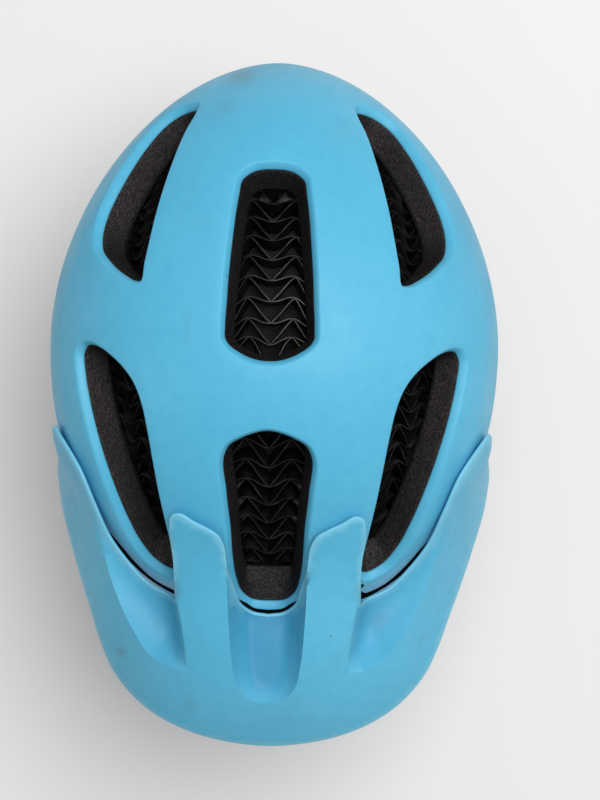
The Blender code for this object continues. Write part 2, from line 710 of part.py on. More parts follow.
def dial_knob():
    """Ribbed knob behind the housing, with a recess for the screw's head."""
    profile = [(2.2, 0.0), (DIAL_RADIUS, 0.0), (DIAL_RADIUS, KNOB_DEPTH - 1.5),
               (DIAL_RADIUS - 1.5, KNOB_DEPTH), (4.1, KNOB_DEPTH), (4.1, KNOB_DEPTH - 2.5),
               (2.2, KNOB_DEPTH - 2.5)]
    return turned(profile, dial_frame(HOUSING_Y + HOUSING_DEPTH + 0.4), ring=True, count=36, bumps=0.06)


def dial_screw():
    """Screw that holds the knob to the housing."""
    head = HOUSING_DEPTH + 0.4 + KNOB_DEPTH - 2.2
    profile = [(1.8, 0.3), (1.8, head), (3.5, head), (3.5, head + 1.7)]
    return turned(profile, dial_frame(HOUSING_Y), count=16)


def height_hanger():
    """Flexible strip from the height clip down to the top of the cradle."""
    path = [(0, 105.4, 38.6), (0, 104.4, 33.0), (0, 98.5, 27.5), (0, 91.4, 23.0), (0, 89.3, 17.0),
            (0, 89.3, 10.0)]
    section = [(-4.6, -0.8), (4.6, -0.8), (4.6, 0.8), (-4.6, 0.8)]
    return sweep(open_curve(path, 11), (1, 0, 0), section)


def height_clip():
    """Toothed tongue on top of the hanger, which clicks up and down in its socket."""
    frame = frame_at((0.0, 105.4, 0.0), (1, 0, 0), (0, 0, 1))
    outline = rounded(16.0, 21.0, 2.5) + (0.0, 49.5)
    return prism(outline, [], -0.9, 0.9, frame)


def hanger_socket():
    """Channel behind the head, fixed to the foam, that guides the height clip."""
    wall, lip, slot, mouth = 13.0, 102.6, 8.5, 5.0
    outline = [(-wall, 115.5), (-wall, lip), (-mouth, lip), (-mouth, lip + 1.4), (-slot, lip + 1.4),
               (-slot, 106.8), (slot, 106.8), (slot, lip + 1.4), (mouth, lip + 1.4), (mouth, lip),
               (wall, lip), (wall, 115.5)]
    return prism(outline, [], 37.0, 54.0, Matrix.Identity(4))


def lace(sign):
    """Fit lace from the dial housing round the outside of the cradle to the arm's end."""
    angles = np.array([166.0, 158.0, 148.0, 136.0, 128.0, 120.0])
    heights = np.array([-17.0, -17.5, -14.0, -7.0, -3.0, -1.0])
    inward = ARM_INSET - CRADLE_THICK / 2 - LACE_RADIUS - GAP
    path = around_head(angles, heights, inward - 0.2) * (sign, 1.0, 1.0)
    return sweep(open_curve(path, 18), (0, 0, 1), round_section(LACE_RADIUS, 6))


# ---------------------------------------------------------------- straps

def rim_frame(angle, depth, drop):
    """Frame under the rim: x along the rim, y inwards along the lip, z up into the foam."""
    turns = np.radians([angle - 1.0, angle, angle + 1.0])
    before, direction, after = np.stack([np.cos(turns), np.sin(turns)], axis=1)
    frame = frame_at(skin(direction, depth), dome(after) - dome(before), -normal(direction))
    return frame @ Matrix.Translation((0.0, 0.0, -drop))


FRONT_ANCHOR = (-30.0, 15.5)
REAR_ANCHOR = (50.0, 15.5)


def mirror_point(point, sign):
    return Vector((point[0] * sign, point[1], point[2]))


def strap_anchor(angle, depth, sign):
    """Slotted plate under the rim that the webbing goes up through."""
    frame = rim_frame(angle, depth, GAP + 3.0)
    if sign < 0:
        frame = Matrix.Diagonal((-1.0, 1.0, 1.0, 1.0)) @ frame
    slot = rounded(WEB_WIDTH + 1.6, 3.0, 1.2)
    return prism(rounded(23.0, 8.0, 3.0), [slot], 0.0, 3.0, frame)


def side_strap(anchor, facet, middle, sign):
    """Webbing from inside an anchor's slot down to one upper facet of the divider."""
    frame = rim_frame(*anchor, GAP + 3.0)
    top, below = frame @ Vector((0.0, 0.0, 1.2)), frame @ Vector((0.0, 0.0, -9.0))
    start, end = Vector(facet[0]), Vector(facet[1])
    away = Vector(((end - start).y, -(end - start).x)).normalized()
    mount = start.lerp(end, 0.5)
    foot = [DIVIDER + Vector((0.0, *(mount + away * reach))) for reach in (12.0, 0.5)]
    path = open_curve([top, below, middle, *foot], 16)
    f = np.linspace(0.0, 1.0, len(path))[:, None]
    outward = -np.array(frame.to_3x3().col[1]) * (1.0 - f) + np.array((1.0, 0.0, 0.0)) * f
    across = np.cross(outward, np.gradient(path, axis=0))
    mirror = np.array([sign, 1.0, 1.0])
    return sweep(path * mirror, across * mirror, WEB_SECTION)


CHIN_PATH = [(71.0, -6.6, -59.0), (71.0, -6.6, -62.0), (69.2, -8.9, -69.0), (66.6, -11.3, -79.5),
             (64.0, -13.7, -90.0), (53.0, -21.5, -105.0), (39.0, -27.0, -114.0)]
CHIN_ENDS = {1: [(31.0, -28.0, -118.4), (26.0, -28.0, -119.8)],
             -1: [(31.0, -28.0, -115.4), (26.0, -28.0, -115.4)]}
KEEPER_FROM, KEEPER_TO = Vector(CHIN_PATH[2]), Vector(CHIN_PATH[4])


def chin_strap(sign):
    """Webbing from the divider down under the jaw to the buckle."""
    path = [mirror_point(point, sign) for point in CHIN_PATH + CHIN_ENDS[sign]]
    return strap(path, (0, 1, 0), 16)


def strap_tail():
    """Spare webbing that doubles back from the buckle, under the chin strap."""
    path = [(x + 1.9, y - 0.2, z - 1.6) for x, y, z in CHIN_PATH[3:]]
    path += [(31.5, -28.0, -120.6), (26.3, -28.0, -122.0)]
    return strap(path, (0, 1, 0), 13)


def keeper_frame():
    """Frame on the straight stretch of the chin strap: z runs up along the strap."""
    along = (KEEPER_FROM - KEEPER_TO).normalized()
    middle = KEEPER_TO.lerp(KEEPER_FROM, 0.55) + Vector((0.95, -0.1, -0.8))
    across = Vector((0, 1, 0)) - along * along.y
    thick = along.cross(across.normalized())
    return frame_at(middle, across, thick)


def strap_keeper():
    """Rubber loop around the chin strap and its tail."""
    hole = rounded(WEB_WIDTH + 2.2, 5.2, 0.8, 1)
    return prism(rounded(WEB_WIDTH + 5.8, 8.8, 2.2, 2), [hole], -3.0, 3.0, keeper_frame())


def side_frame(sign, position):
    """Frame on one side of the face: y up, z away from the face."""
    return frame_at(mirror_point(position, sign), (0, sign, 0), (0, 0, 1))


# Divider outline, y rearwards and z up. The front and rear straps meet its two upper facets.
FRONT_FACET = ((-3.0, 13.5), (-17.6, 4.8))
REAR_FACET = ((14.2, 0.8), (3.0, 13.5))
DIVIDER_OUTLINE = [REAR_FACET[0], REAR_FACET[1], FRONT_FACET[0], FRONT_FACET[1], (-10.5, -9.0),
                   (-8.5, -12.0), (8.5, -12.0), (10.5, -9.0)]
LEVER_PIVOT = (6.2, 4.2)


def divider(sign):
    """Cam divider where the front and rear straps join."""
    outline = np.array(DIVIDER_OUTLINE) * (sign, 1.0)
    return prism(outline[::sign], [], -2.5, 2.5, side_frame(sign, DIVIDER))


def divider_lever(sign):
    """Locking flap on the divider's outer face, hinged at its upper end."""
    outline = rounded(17.0, 16.6, 2.5, 2) + (0.0, LEVER_PIVOT[0] + 1.0 - 8.3)
    return prism(outline, [], LEVER_PIVOT[1] - 1.1, LEVER_PIVOT[1] + 0.9, side_frame(sign, DIVIDER))


def lever_pivot(sign):
    """Point on a divider lever's hinge axis."""
    return side_frame(sign, DIVIDER) @ Vector((0.0, LEVER_PIVOT[0], LEVER_PIVOT[1]))


def buckle_plate(middle_x, low, high, pocket_from):
    """Half of the magnetic buckle: a plate with a round pocket in the face at pocket_from."""
    width = 36.0
    outline = rounded(width, 22.0, 6.0) + (middle_x, 0.0)
    frame = Matrix.Translation(BUCKLE)
    if pocket_from == "low":
        low, high = high, low
    return prism(outline, [circle(5.3)], low, high, frame, pocket=0.62)


def magnet(low, high):
    """Disc magnet in a buckle pocket."""
    return turned([(5.0, low), (5.0, high)], Matrix.Translation(BUCKLE), count=20)


def chin_pad():
    """Soft pad between the buckle and the chin."""
    frame = Matrix.Translation(BUCKLE + Vector((0.0, 0.0, 5.6)))
    return prism(rounded(46.0, 20.0, 6.0), [], 0.0, 3.0, frame)


# ---------------------------------------------------------------- visor mounts

POST_UV = np.array([0.165, -0.585])
POST_RADIUS = 4.0
CLIP_TOP = 7.5


def post_frame(sign):
    """Frame on the shell under one of the visor's ribs: x up the slope, z away from the shell."""
    uv = POST_UV * (sign, 1.0)
    outward = Vector(normal(uv))
    return frame_at(dome(uv), Vector((0.0, 0.0, 1.0)) - outward * outward.z,
                    outward.cross(Vector((0.0, 0.0, 1.0))))


def visor_post(sign):
    """Post on the shell that the visor's clip snaps round."""
    profile = [(6.0, 0.1), (6.0, 0.9), (POST_RADIUS, 1.0), (POST_RADIUS, 4.6), (POST_RADIUS - 0.6, 5.2)]
    return turned(profile, post_frame(sign), count=20)


def visor_clip(sign):
    """C-shaped clip under the visor's rib, open up the slope so that it leaves the post forwards."""
    turns = np.radians(np.linspace(48.0, 312.0, 15))
    arc = np.stack([np.cos(turns), np.sin(turns)], axis=1)
    outline = np.vstack([arc * 7.4, arc[::-1] * (POST_RADIUS + 0.4)])
    return prism(outline, [], 1.4, CLIP_TOP, post_frame(sign))


# ---------------------------------------------------------------- assembly

def clear_scene():
    for existing in list(bpy.data.objects):
        bpy.data.objects.remove(existing, do_unlink=True)


def main():
    clear_scene()
    cap = make_cap()
    outer_shell(cap).build("outer_shell", paint("outer_shell", BLUE, 0.5))
    lower_shell(cap).build("lower_shell", paint("lower_shell", BLACK, 0.45))
    foam_liner(cap).build("foam_liner", paint("foam_liner", FOAM_GREY, 0.8))
    cell_liner(cap).build("cell_liner", paint("cell_liner", BLACK, 0.35))
    visor().build("visor", paint("visor", BLUE, 0.5))

    pad_depth = CELLS_TO + 1.3
    crown = [(-9, -64), (9, -64), (13, -40), (15, -18), (18, 0), (14, 26), (0, 33), (-14, 26), (-18, 0),
             (-15, -18), (-13, -40)]
    surface_pad(crown, pad_depth, 5.0).build("crown_pad", paint("crown_pad", FABRIC, 0.9))
    side = [(40, -24), (52, -28), (62, -22), (65, 0), (62, 24), (50, 30), (40, 24), (36, 0)]
    rear = [(8, 56), (16, 50), (34, 40), (42, 46), (38, 58), (22, 68), (10, 70)]
    for label, sign in (("left", 1), ("right", -1)):
        for kind, outline in (("side_pad", side), ("rear_pad", rear)):
            loop = outline if sign > 0 else [(-x, y) for x, y in reversed(outline)]
            name = f"{kind}_{label}"
            surface_pad(loop, pad_depth, 5.0).build(name, paint(name, FABRIC, 0.9))

    front_band().build("front_band", paint("front_band", BLACK, 0.5))
    brow = rounded(2 * 60 * DEGREE, 17.0, 6.0)
    brow = resample(np.vstack([brow, brow[:1]]), 41)[:-1]
    band(brow, [], BAND_THICK / 2 + 2 * GAP, 5.0).build("brow_pad", paint("brow_pad", FABRIC, 0.9))
    rear_cradle().build("rear_cradle", paint("rear_cradle", BLACK, 0.5))
    for label, sign in (("left", 1), ("right", -1)):
        outline = closed_curve([(16, -31), (30, -27), (50, -13), (56, -3), (46, 5), (30, 12), (15, 14)], 18)
        loop = flipped(outline) if sign > 0 else outline
        pad = band(loop, [], ARM_INSET + CRADLE_THICK / 2 + 2 * GAP, 4.0, 180.0)
        pad.build(f"cradle_pad_{label}", paint(f"cradle_pad_{label}", FABRIC, 0.9))
        lace(sign).build(f"lace_{label}", paint(f"lace_{label}", BLACK, 0.4))
    dial_housing().build("dial_housing", paint("dial_housing", BLACK, 0.5))
    dial_axis = (0.0, HOUSING_Y + HOUSING_DEPTH, DIAL_Z)
    dial_spool().build("dial_spool", paint("dial_spool", BLACK, 0.4), dial_axis)
    dial_knob().build("dial_knob", paint("dial_knob", BLACK, 0.55), dial_axis)
    dial_screw().build("dial_screw", paint("dial_screw", STEEL, 0.35, 1.0))
    height_hanger().build("height_hanger", paint("height_hanger", BLACK, 0.5))
    height_clip().build("height_clip", paint("height_clip", BLACK, 0.5))
    hanger_socket().build("hanger_socket", paint("hanger_socket", BLACK, 0.5))

    for label, sign in (("left", 1), ("right", -1)):
        for kind, anchor in (("front", FRONT_ANCHOR), ("rear", REAR_ANCHOR)):
            name = f"strap_anchor_{kind}_{label}"
            strap_anchor(*anchor, sign).build(name, paint(name, BLACK, 0.5))
        strap_front = side_strap(FRONT_ANCHOR, FRONT_FACET, (77.5, -32.0, -2.0), sign)
        strap_front.build(f"strap_front_{label}", paint(f"strap_front_{label}", FABRIC, 0.85))
        strap_rear = side_strap(REAR_ANCHOR, REAR_FACET, (68.0, 42.0, -11.0), sign)
        strap_rear.build(f"strap_rear_{label}", paint(f"strap_rear_{label}", FABRIC, 0.85))
        chin = paint(f"chin_strap_{label}", FABRIC, 0.85)
        chin_strap(sign).build(f"chin_strap_{label}", chin)
        divider(sign).build(f"divider_{label}", paint(f"divider_{label}", BLACK, 0.5))
        lever = f"divider_lever_{label}"
        divider_lever(sign).build(lever, paint(lever, BLACK, 0.45), lever_pivot(sign))
        visor_post(sign).build(f"visor_post_{label}", paint(f"visor_post_{label}", BLACK, 0.5))
        visor_clip(sign).build(f"visor_clip_{label}", paint(f"visor_clip_{label}", BLACK, 0.5))
    strap_tail().build("strap_tail", paint("strap_tail", FABRIC, 0.85))
    strap_keeper().build("strap_keeper", paint("strap_keeper", BLACK, 0.7))
    buckle_plate(7.0, -5.0, -0.2, "high").build("buckle_socket", paint("buckle_socket", BLACK, 0.5))
    buckle_plate(-7.0, 0.2, 5.0, "low").build("buckle_tongue", paint("buckle_tongue", BLACK, 0.5))
    magnet(-2.8, -0.6).build("socket_magnet", paint("socket_magnet", STEEL, 0.3, 1.0))
    magnet(0.6, 2.8).build("tongue_magnet", paint("tongue_magnet", STEEL, 0.3, 1.0))
    chin_pad().build("chin_pad", paint("chin_pad", FABRIC, 0.9))


main()
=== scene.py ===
"""Visual model of the cycling helmet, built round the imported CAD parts.

Shapes are in millimetres until Piece.build, which writes metres. The origin is the middle of the
head opening, +Z is up, the visor points to -Y and the wearer's left side is +X.
"""
import math

import bmesh
import bpy
import numpy as np
from mathutils import Matrix, Vector
from mathutils.geometry import delaunay_2d_cdt


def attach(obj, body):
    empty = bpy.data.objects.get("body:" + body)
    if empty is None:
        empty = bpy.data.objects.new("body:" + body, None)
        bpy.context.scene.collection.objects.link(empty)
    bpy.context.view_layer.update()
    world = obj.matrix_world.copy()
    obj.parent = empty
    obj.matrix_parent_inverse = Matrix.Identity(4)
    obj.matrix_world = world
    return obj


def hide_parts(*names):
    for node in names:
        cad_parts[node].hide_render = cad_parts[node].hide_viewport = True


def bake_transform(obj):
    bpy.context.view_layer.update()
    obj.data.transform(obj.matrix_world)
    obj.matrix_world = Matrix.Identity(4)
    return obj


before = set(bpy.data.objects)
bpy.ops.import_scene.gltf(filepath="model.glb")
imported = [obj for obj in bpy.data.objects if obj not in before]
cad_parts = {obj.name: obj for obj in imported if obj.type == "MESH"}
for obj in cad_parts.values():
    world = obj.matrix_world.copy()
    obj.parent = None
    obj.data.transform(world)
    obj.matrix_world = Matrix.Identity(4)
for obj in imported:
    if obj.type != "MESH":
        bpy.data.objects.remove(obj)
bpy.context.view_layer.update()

MM = 0.001
GAP = 0.3

# Outer surface. Each direction out from the crown is a cubic curve, and these are its three outer
# control rings: plan radius and height at the side, the front and the rear.
CROWN_Z = 163.0
SIDE_RINGS = ((72.0, 163.0), (128.5, 118.0), (102.0, 22.0))
FRONT_RINGS = ((85.0, 163.0), (144.0, 96.0), (137.0, 40.0))
REAR_RINGS = ((92.0, 163.0), (172.0, 92.0), (126.0, 0.0))
FRONT_POWER = 2.15
REAR_POWER = 1.85

# Layers, as depths below the outer surface. Surface positions run from 0 (crown) to 1 (rim).
SHELL = 1.2
FOAM = 17.0
FOAM_AT_RIM = 24.0
CELLS_FROM = 17.7
CELLS_TO = 30.0
CELL_EDGE = 0.77
SHELL_EDGE = 0.925
VENT_ROLL = 2.4
VENT_DROP = 3.0
VENT_DRAFT = 2.0
# The foam's front wall in the front vents slopes back to these v positions.
FRONT_SHELF = -0.62
SIDE_SHELF = -0.555

# Vent outlines, in hundredths of the (u, v) disc. Centre vents give their +u half, front to rear.
TOP_VENT = [(0, -4.9), (6.5, -3.7), (9.7, -1.7), (10.6, -0.3), (10.7, 2.5), (9.8, 8.6), (8.6, 16.5),
            (7.3, 26.9), (6.7, 30.1), (4.6, 31.6), (0, 32)]
FRONT_VENT = [(0, -70.4), (4.8, -69.6), (7.6, -65.4), (9, -57.2), (9.2, -49.1), (9.1, -40.5), (9.5, -31),
              (9.5, -22.2), (8.6, -20.3), (5, -17.6), (0, -16.1)]
SIDE_FRONT_VENT = [(22.4, -58.6), (25.8, -61), (31.4, -59.2), (35.2, -53.6), (38.1, -45.5), (40.5, -38.5),
                   (43.1, -31.7), (45.9, -24.7), (49.2, -16), (51.1, -9.8), (51.8, -3.4), (49.6, -0.8),
                   (46.1, -0.4), (42.3, -1.4), (37.8, -3.7), (33.6, -6.6), (30.2, -10), (27.6, -14.4),
                   (25.7, -19.9), (24.3, -26.3), (23.2, -33.9), (22.3, -41.9), (21.8, -50.4)]
SIDE_REAR_VENT = [(29.6, 12.2), (31.8, 12.2), (36.6, 14.4), (42.4, 18.7), (46.4, 23.1), (47.4, 27.6),
                  (46.4, 33.1), (43.4, 38.9), (39.4, 45.2), (35, 51.4), (30, 56.4), (24.8, 57.4),
                  (20, 56), (17.3, 54), (17.4, 50.3), (19.2, 45.3), (21.2, 38.7), (22.9, 33.3),
                  (24.7, 27.7), (26.4, 22.1), (27.9, 17.2)]
EXHAUST_VENT = [(7.5, 79.8), (19.4, 77.8), (32, 74.4), (37, 76.2), (35.5, 81.2), (29, 85.6),
                (17, 88.9), (9.2, 89.6), (6.8, 85)]

# Visor, in plan. Its top is crowned between a centre line and an outer edge.
VISOR_THICK = 2.0
VISOR_CLEARANCE = 3.8
# How steeply the surface it clears is taken to fall past its widest line.
OVERHANG_FALL = 6.0
VISOR_FRONT = 192.4
VISOR_EDGE = [(0, -192.4), (18.5, -190.9), (36, -187), (51, -180.8), (62, -173.8), (70, -166.3),
              (76.6, -158), (83, -145), (88.3, -131), (98.7, -102), (106.3, -75), (107.9, -60),
              (105.6, -46)]
VISOR_CENTRE = [(-192.4, 88), (-175, 99.5), (-155, 109.5), (-135, 117.5), (-115, 124),
                (-100, 130.5), (-82, 139.5), (-60, 150), (-40, 158)]
VISOR_INNER = [(101, -43.6), (97, -48.5), (88, -62), (82, -77), (75, -94), (66.5, -106), (56, -116),
               (44, -121.5)]
VISOR_PRONG = [(43.6, -102), (44.9, -84), (43.8, -79.9), (40.6, -78.8), (33.3, -82.4), (26.8, -85.6),
               (22.4, -88.4), (19.8, -92.8), (18.6, -98), (16.9, -107.5), (14.6, -117), (12.6, -123.4),
               (8.4, -127.4), (0, -128.8)]
SCOOP_CREASE = [(88, -62), (80.4, -91.6), (74.5, -114.5), (68.5, -129), (61.7, -140.5), (56, -148),
                (50, -151.5), (38, -153.5)]
RIB_EDGE = [(46, -70), (43.5, -101), (42.5, -115), (39.4, -135), (37, -156)]
SIDE_SCOOP_DEPTH = 20.0
SIDE_SCOOP_REACH = 24.0
RIB_WALL = 8.0
CHANNEL_CREASE = [(18.6, -60), (18.4, -100), (17.6, -130), (15.6, -152), (13.8, -160.5), (8.5, -167.2),
                  (0, -169.5), (-8.5, -167.2)]
CHANNEL_DEPTH = (26.0, 7.0)
CHANNEL_RUN = (-125.0, -165.0)
CHANNEL_WALL = 9.0

# Ring of the head band and the cradle: half-width, reach, level and tilt. The fit lace runs outside it.
BAND_SIDE = 73.5
BAND_FRONT = 110.5
BAND_REAR = 91.0
BAND_LEVEL = 22.0
BAND_TILT = 0.26
ARM_INSET = 4.0
CRADLE_THICK = 2.0
LACE_RADIUS = 0.6

# Webbing, and the centre of the left strap divider.
WEB_WIDTH = 15.0
WEB_THICK = 1.2
DIVIDER = Vector((71.0, -6.0, -46.0))

# Colours.
BLUE = (0.094, 0.468, 0.700)
BLUE_PALE = (0.122, 0.510, 0.735)
BLUE_DEEP = (0.062, 0.400, 0.630)
# Rubbed paler edges, partly a painted highlight along them.
BLUE_WORN_AND_HIGHLIGHT = (0.260, 0.640, 0.800)
# Grey of scuffs and marks, also of wide painted shade.
GRIME_AND_SHADE = (0.110, 0.170, 0.190)
# Painted shade for the visor's scoops and channel.
BLUE_PAINTED_SHADE = (0.035, 0.270, 0.455)
# Black of the shell's underside, and of the painted shadow line in the gap under the visor's edge.
UNDERSIDE_AND_GAP_SHADOW = (0.006, 0.006, 0.007)
BEAD = (0.011, 0.009, 0.008)
BEAD_PALE = (0.023, 0.0195, 0.0185)
# Darker beads, also painted shade on foam faces that turn away from straight up.
BEAD_DARK = (0.004, 0.003, 0.003)
BEAD_JOINT = (0.075, 0.066, 0.062)
# Painted highlight along the top edges of the cell walls.
CELL_EDGE_HIGHLIGHT = (0.034, 0.030, 0.028)

# Light, in metres and watts.
WORLD_LIGHT = 0.36
LAMP = Vector((0.38, 0.30, 1.66))
LAMP_AIM = Vector((0.0, -0.03, 0.08))
LAMP_WIDTH = 1.2
LAMP_POWER = 22.5


# ---- curves

def closed_curve(points, count):
    """Evenly spaced points on a smooth closed curve through the given points."""
    ends = np.asarray(points, float)
    following = np.roll(ends, -1, axis=0)
    chord = np.linalg.norm(following - ends, axis=1)[:, None]
    slope = (following - ends) / chord
    before = np.roll(chord, 1, axis=0)
    tangent = (slope * before + np.roll(slope, 1, axis=0) * chord) / (chord + before)
    dense = hermite(ends, following, tangent * chord, np.roll(tangent, -1, axis=0) * chord)
    return resample(rejoined(dense), count + 1)[:-1]


def open_curve(points, count):
    """Evenly spaced points on a smooth open curve through the given points."""
    knots = np.asarray(points, float)
    chord = np.linalg.norm(np.diff(knots, axis=0), axis=1)[:, None]
    slope = np.diff(knots, axis=0) / chord
    inner = (slope[1:] * chord[:-1] + slope[:-1] * chord[1:]) / (chord[1:] + chord[:-1])
    tangent = np.vstack([slope[:1], inner, slope[-1:]])
    dense = hermite(knots[:-1], knots[1:], tangent[:-1] * chord, tangent[1:] * chord)
    return resample(np.vstack([dense, knots[-1:]]), count)


def hermite(start, end, leave, arrive):
    """Points along the cubic pieces between each start and end."""
    f = np.linspace(0.0, 1.0, 16, endpoint=False)[None, :, None]
    pieces = ((2 * f**3 - 3 * f**2 + 1) * start[:, None] + (f**3 - 2 * f**2 + f) * leave[:, None]
              + (3 * f**2 - 2 * f**3) * end[:, None] + (f**3 - f**2) * arrive[:, None])
    return pieces.reshape(-1, start.shape[1])


def rejoined(loop):
    """A closed loop as a path that ends where it starts."""
    return np.vstack([loop, loop[:1]])


def run_along(path):
    """Distance from the start of a path to each of its points."""
    return np.concatenate([[0.0], np.cumsum(np.linalg.norm(np.diff(path, axis=0), axis=1))])


def resample(path, count):
    """The same path with evenly spaced points."""
    run = run_along(path)
    wanted = np.linspace(0.0, run[-1], count)
    return np.stack([np.interp(wanted, run, path[:, k]) for k in range(path.shape[1])], axis=1)


def inside(points, loop):
    """Which points lie inside a closed loop."""
    x, y = points[:, None, 0], points[:, None, 1]
    a, b = loop[None], np.roll(loop, -1, axis=0)[None]
    rise = np.where(np.abs(b[..., 1] - a[..., 1]) < 1e-12, 1e-12, b[..., 1] - a[..., 1])
    crosses = (a[..., 1] > y) != (b[..., 1] > y)
    left = x < (b[..., 0] - a[..., 0]) * (y - a[..., 1]) / rise + a[..., 0]
    return (crosses & left).sum(axis=1) % 2 == 1


def distance(points, path):
    """Shortest distance from each point to an open path."""
    a, b = path[None, :-1], path[None, 1:]
    run = b - a
    f = ((points[:, None] - a) * run).sum(-1) / np.maximum((run * run).sum(-1), 1e-12)
    nearest = a + np.clip(f, 0.0, 1.0)[..., None] * run
    return np.linalg.norm(points[:, None] - nearest, axis=-1).min(axis=1)


def mirrored(half):
    """A closed outline from its +u half, which starts and ends on the centre line."""
    return half + [(-x, y) for x, y in reversed(half[1:-1])]


def leftwards(ahead):
    """Unit vectors to the left of plan directions."""
    return unit(np.stack([-ahead[:, 1], ahead[:, 0]], axis=1))


def flipped(loop):
    """The same closed outline on the other side, still running anticlockwise."""
    return (loop * (-1.0, 1.0))[::-1]


def smoothstep(low, high, value):
    """0 below low and 1 above high, with smooth ends."""
    f = np.clip((value - low) / (high - low), 0.0, 1.0)
    return f * f * (3.0 - 2.0 * f)


# ---- outer surface

def meridian(t, c, s):
    """Plan radius and height at position t on the curve that leaves the crown towards (c, s)."""
    rear = s >= 0.0
    power = np.where(rear, REAR_POWER, FRONT_POWER)
    reach = np.zeros_like(t)
    height = (1.0 - t)**3 * CROWN_Z
    weights = (3.0 * (1.0 - t)**2 * t, 3.0 * (1.0 - t) * t**2, t**3)
    for weight, side, front, back in zip(weights, SIDE_RINGS, FRONT_RINGS, REAR_RINGS):
        far = np.where(rear, back[0], front[0])
        level = np.where(rear, back[1], front[1])
        radius = ((np.abs(c) / side[0])**power + (np.abs(s) / far)**power)**(-1.0 / power)
        reach = reach + weight * radius
        height = height + weight * (side[1] + (level - side[1]) * s * s)
    return reach, height


def dome(uv):
    """Point on the outer surface: uv has length 0 at the crown and 1 at the rim."""
    t = np.hypot(uv[..., 0], uv[..., 1])
    c = np.where(t > 1e-6, uv[..., 0] / np.maximum(t, 1e-9), 1.0)
    s = np.where(t > 1e-6, uv[..., 1] / np.maximum(t, 1e-9), 0.0)
    reach, height = meridian(t, c, s)
    return np.stack([reach * c, reach * s, height], axis=-1)


def slopes(uv, step=1e-4):
    """Derivatives of the outer surface along u and along v."""
    along_u = dome(uv + (step, 0.0)) - dome(uv - (step, 0.0))
    along_v = dome(uv + (0.0, step)) - dome(uv - (0.0, step))
    return along_u / (2 * step), along_v / (2 * step)


def unit(vectors):
    """The same directions with length 1."""
    return vectors / np.linalg.norm(vectors, axis=-1, keepdims=True)


def normal(uv):
    """Outward normal of the outer surface."""
    return unit(np.cross(*slopes(uv)))


def skin(uv, depth):
    """Points at a depth below the outer surface; a negative depth is above it."""
    return dome(uv) - normal(uv) * np.broadcast_to(depth, uv.shape[:-1])[..., None]


def inset(loop, width):
    """A closed (u, v) loop moved inwards along the surface by a width."""
    du, dv = slopes(loop)
    ahead = dome(np.roll(loop, -1, axis=0)) - dome(np.roll(loop, 1, axis=0))
    inward = unit(np.cross(unit(np.cross(du, dv)), ahead)) * width
    uu, uv, vv = (du * du).sum(-1), (du * dv).sum(-1), (dv * dv).sum(-1)
    pu, pv = (du * inward).sum(-1), (dv * inward).sum(-1)
    area = uu * vv - uv * uv
    return loop + np.stack([(vv * pu - uv * pv) / area, (uu * pv - uv * pu) / area], axis=-1)


def foam_depth(uv):
    """Depth of the foam's inner face, which thickens towards the rim."""
    return FOAM + (FOAM_AT_RIM - FOAM) * smoothstep(0.82, 1.0, np.hypot(uv[..., 0], uv[..., 1]))


def height_above(x, y, clearance):
    """Height, at a plan position, of the surface that floats a clearance above the outer one."""
    rho = np.maximum(np.hypot(x, y), 1e-6)
    c, s = x / rho, y / rho

    def floating(t):
        reach, height = meridian(t, c, s)
        further, lower = meridian(t + 1e-4, c, s)
        dr, dz = further - reach, lower - height
        size = np.hypot(dr, dz)
        return reach - clearance * dz / size, height + clearance * dr / size

    steps = np.linspace(0.02, 1.0, 99)
    reaches = np.stack([floating(np.full_like(rho, t))[0] for t in steps])
    widest = steps[reaches.argmax(axis=0)]
    low, high = np.zeros_like(rho), widest
    for _ in range(24):
        middle = 0.5 * (low + high)
        short = floating(middle)[0] < rho
        low, high = np.where(short, middle, low), np.where(short, high, middle)
    height = floating(low)[1]
    overhang = np.maximum(rho - reaches.max(axis=0), 0.0)
    return height - OVERHANG_FALL * overhang


# ---- meshes

class Piece:
    """A mesh gathered as points in millimetres and faces, with optional values per point."""

    def __init__(self):
        self.points = []
        self.faces = []
        self.values = {}

    def add(self, points, **values):
        """Add points and return their numbers. Values are one number per point, or one for all."""
        points = np.atleast_2d(np.asarray(points, float))
        first = len(self.points)
        self.points.extend(points)
        for key in set(self.values) | set(values):
            stored = self.values.setdefault(key, [0.0] * first)
            stored.extend(np.broadcast_to(values.get(key, 0.0), (len(points),)))
        return np.arange(first, len(self.points))

    def cover(self, numbers, triangles):
        self.faces.extend(numbers[triangles])

    def bridge(self, *loops, closed=True):
        """Join loops one after another with quads."""
        for here, there in zip(loops[:-1], loops[1:]):
            count = len(here)
            for i in range(count if closed else count - 1):
                j = (i + 1) % count
                self.faces.append((here[i], here[j], there[j], there[i]))

    def build(self, name, material, body, stands_for=(), sharp=35.0):
        """Make the object, which rides on a body, if one is named, and stands for CAD nodes."""
        mesh = bpy.data.meshes.new(name)
        faces = [[int(number) for number in face] for face in self.faces]
        mesh.from_pydata([tuple(point * MM) for point in np.asarray(self.points)], [], faces)
        for key, stored in self.values.items():
            layer = mesh.attributes.new(key, "FLOAT", "POINT")
            layer.data.foreach_set("value", np.asarray(stored, np.float32))
        bm = bmesh.new()
        bm.from_mesh(mesh)
        bmesh.ops.recalc_face_normals(bm, faces=bm.faces[:])
        if bm.calc_volume(signed=True) < 0.0:
            bmesh.ops.reverse_faces(bm, faces=bm.faces[:])
        bm.to_mesh(mesh)
        bm.free()
        mesh.materials.append(material)
        mesh.shade_smooth()
        mesh.set_sharp_from_angle(angle=math.radians(sharp))
        made = placed(name, mesh)
        if body:
            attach(made, body)
        if stands_for:
            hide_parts(*stands_for)
        return made


def placed(name, data):
    """A new object in the scene."""
    made = bpy.data.objects.new(name, data)
    bpy.context.scene.collection.objects.link(made)
    return made


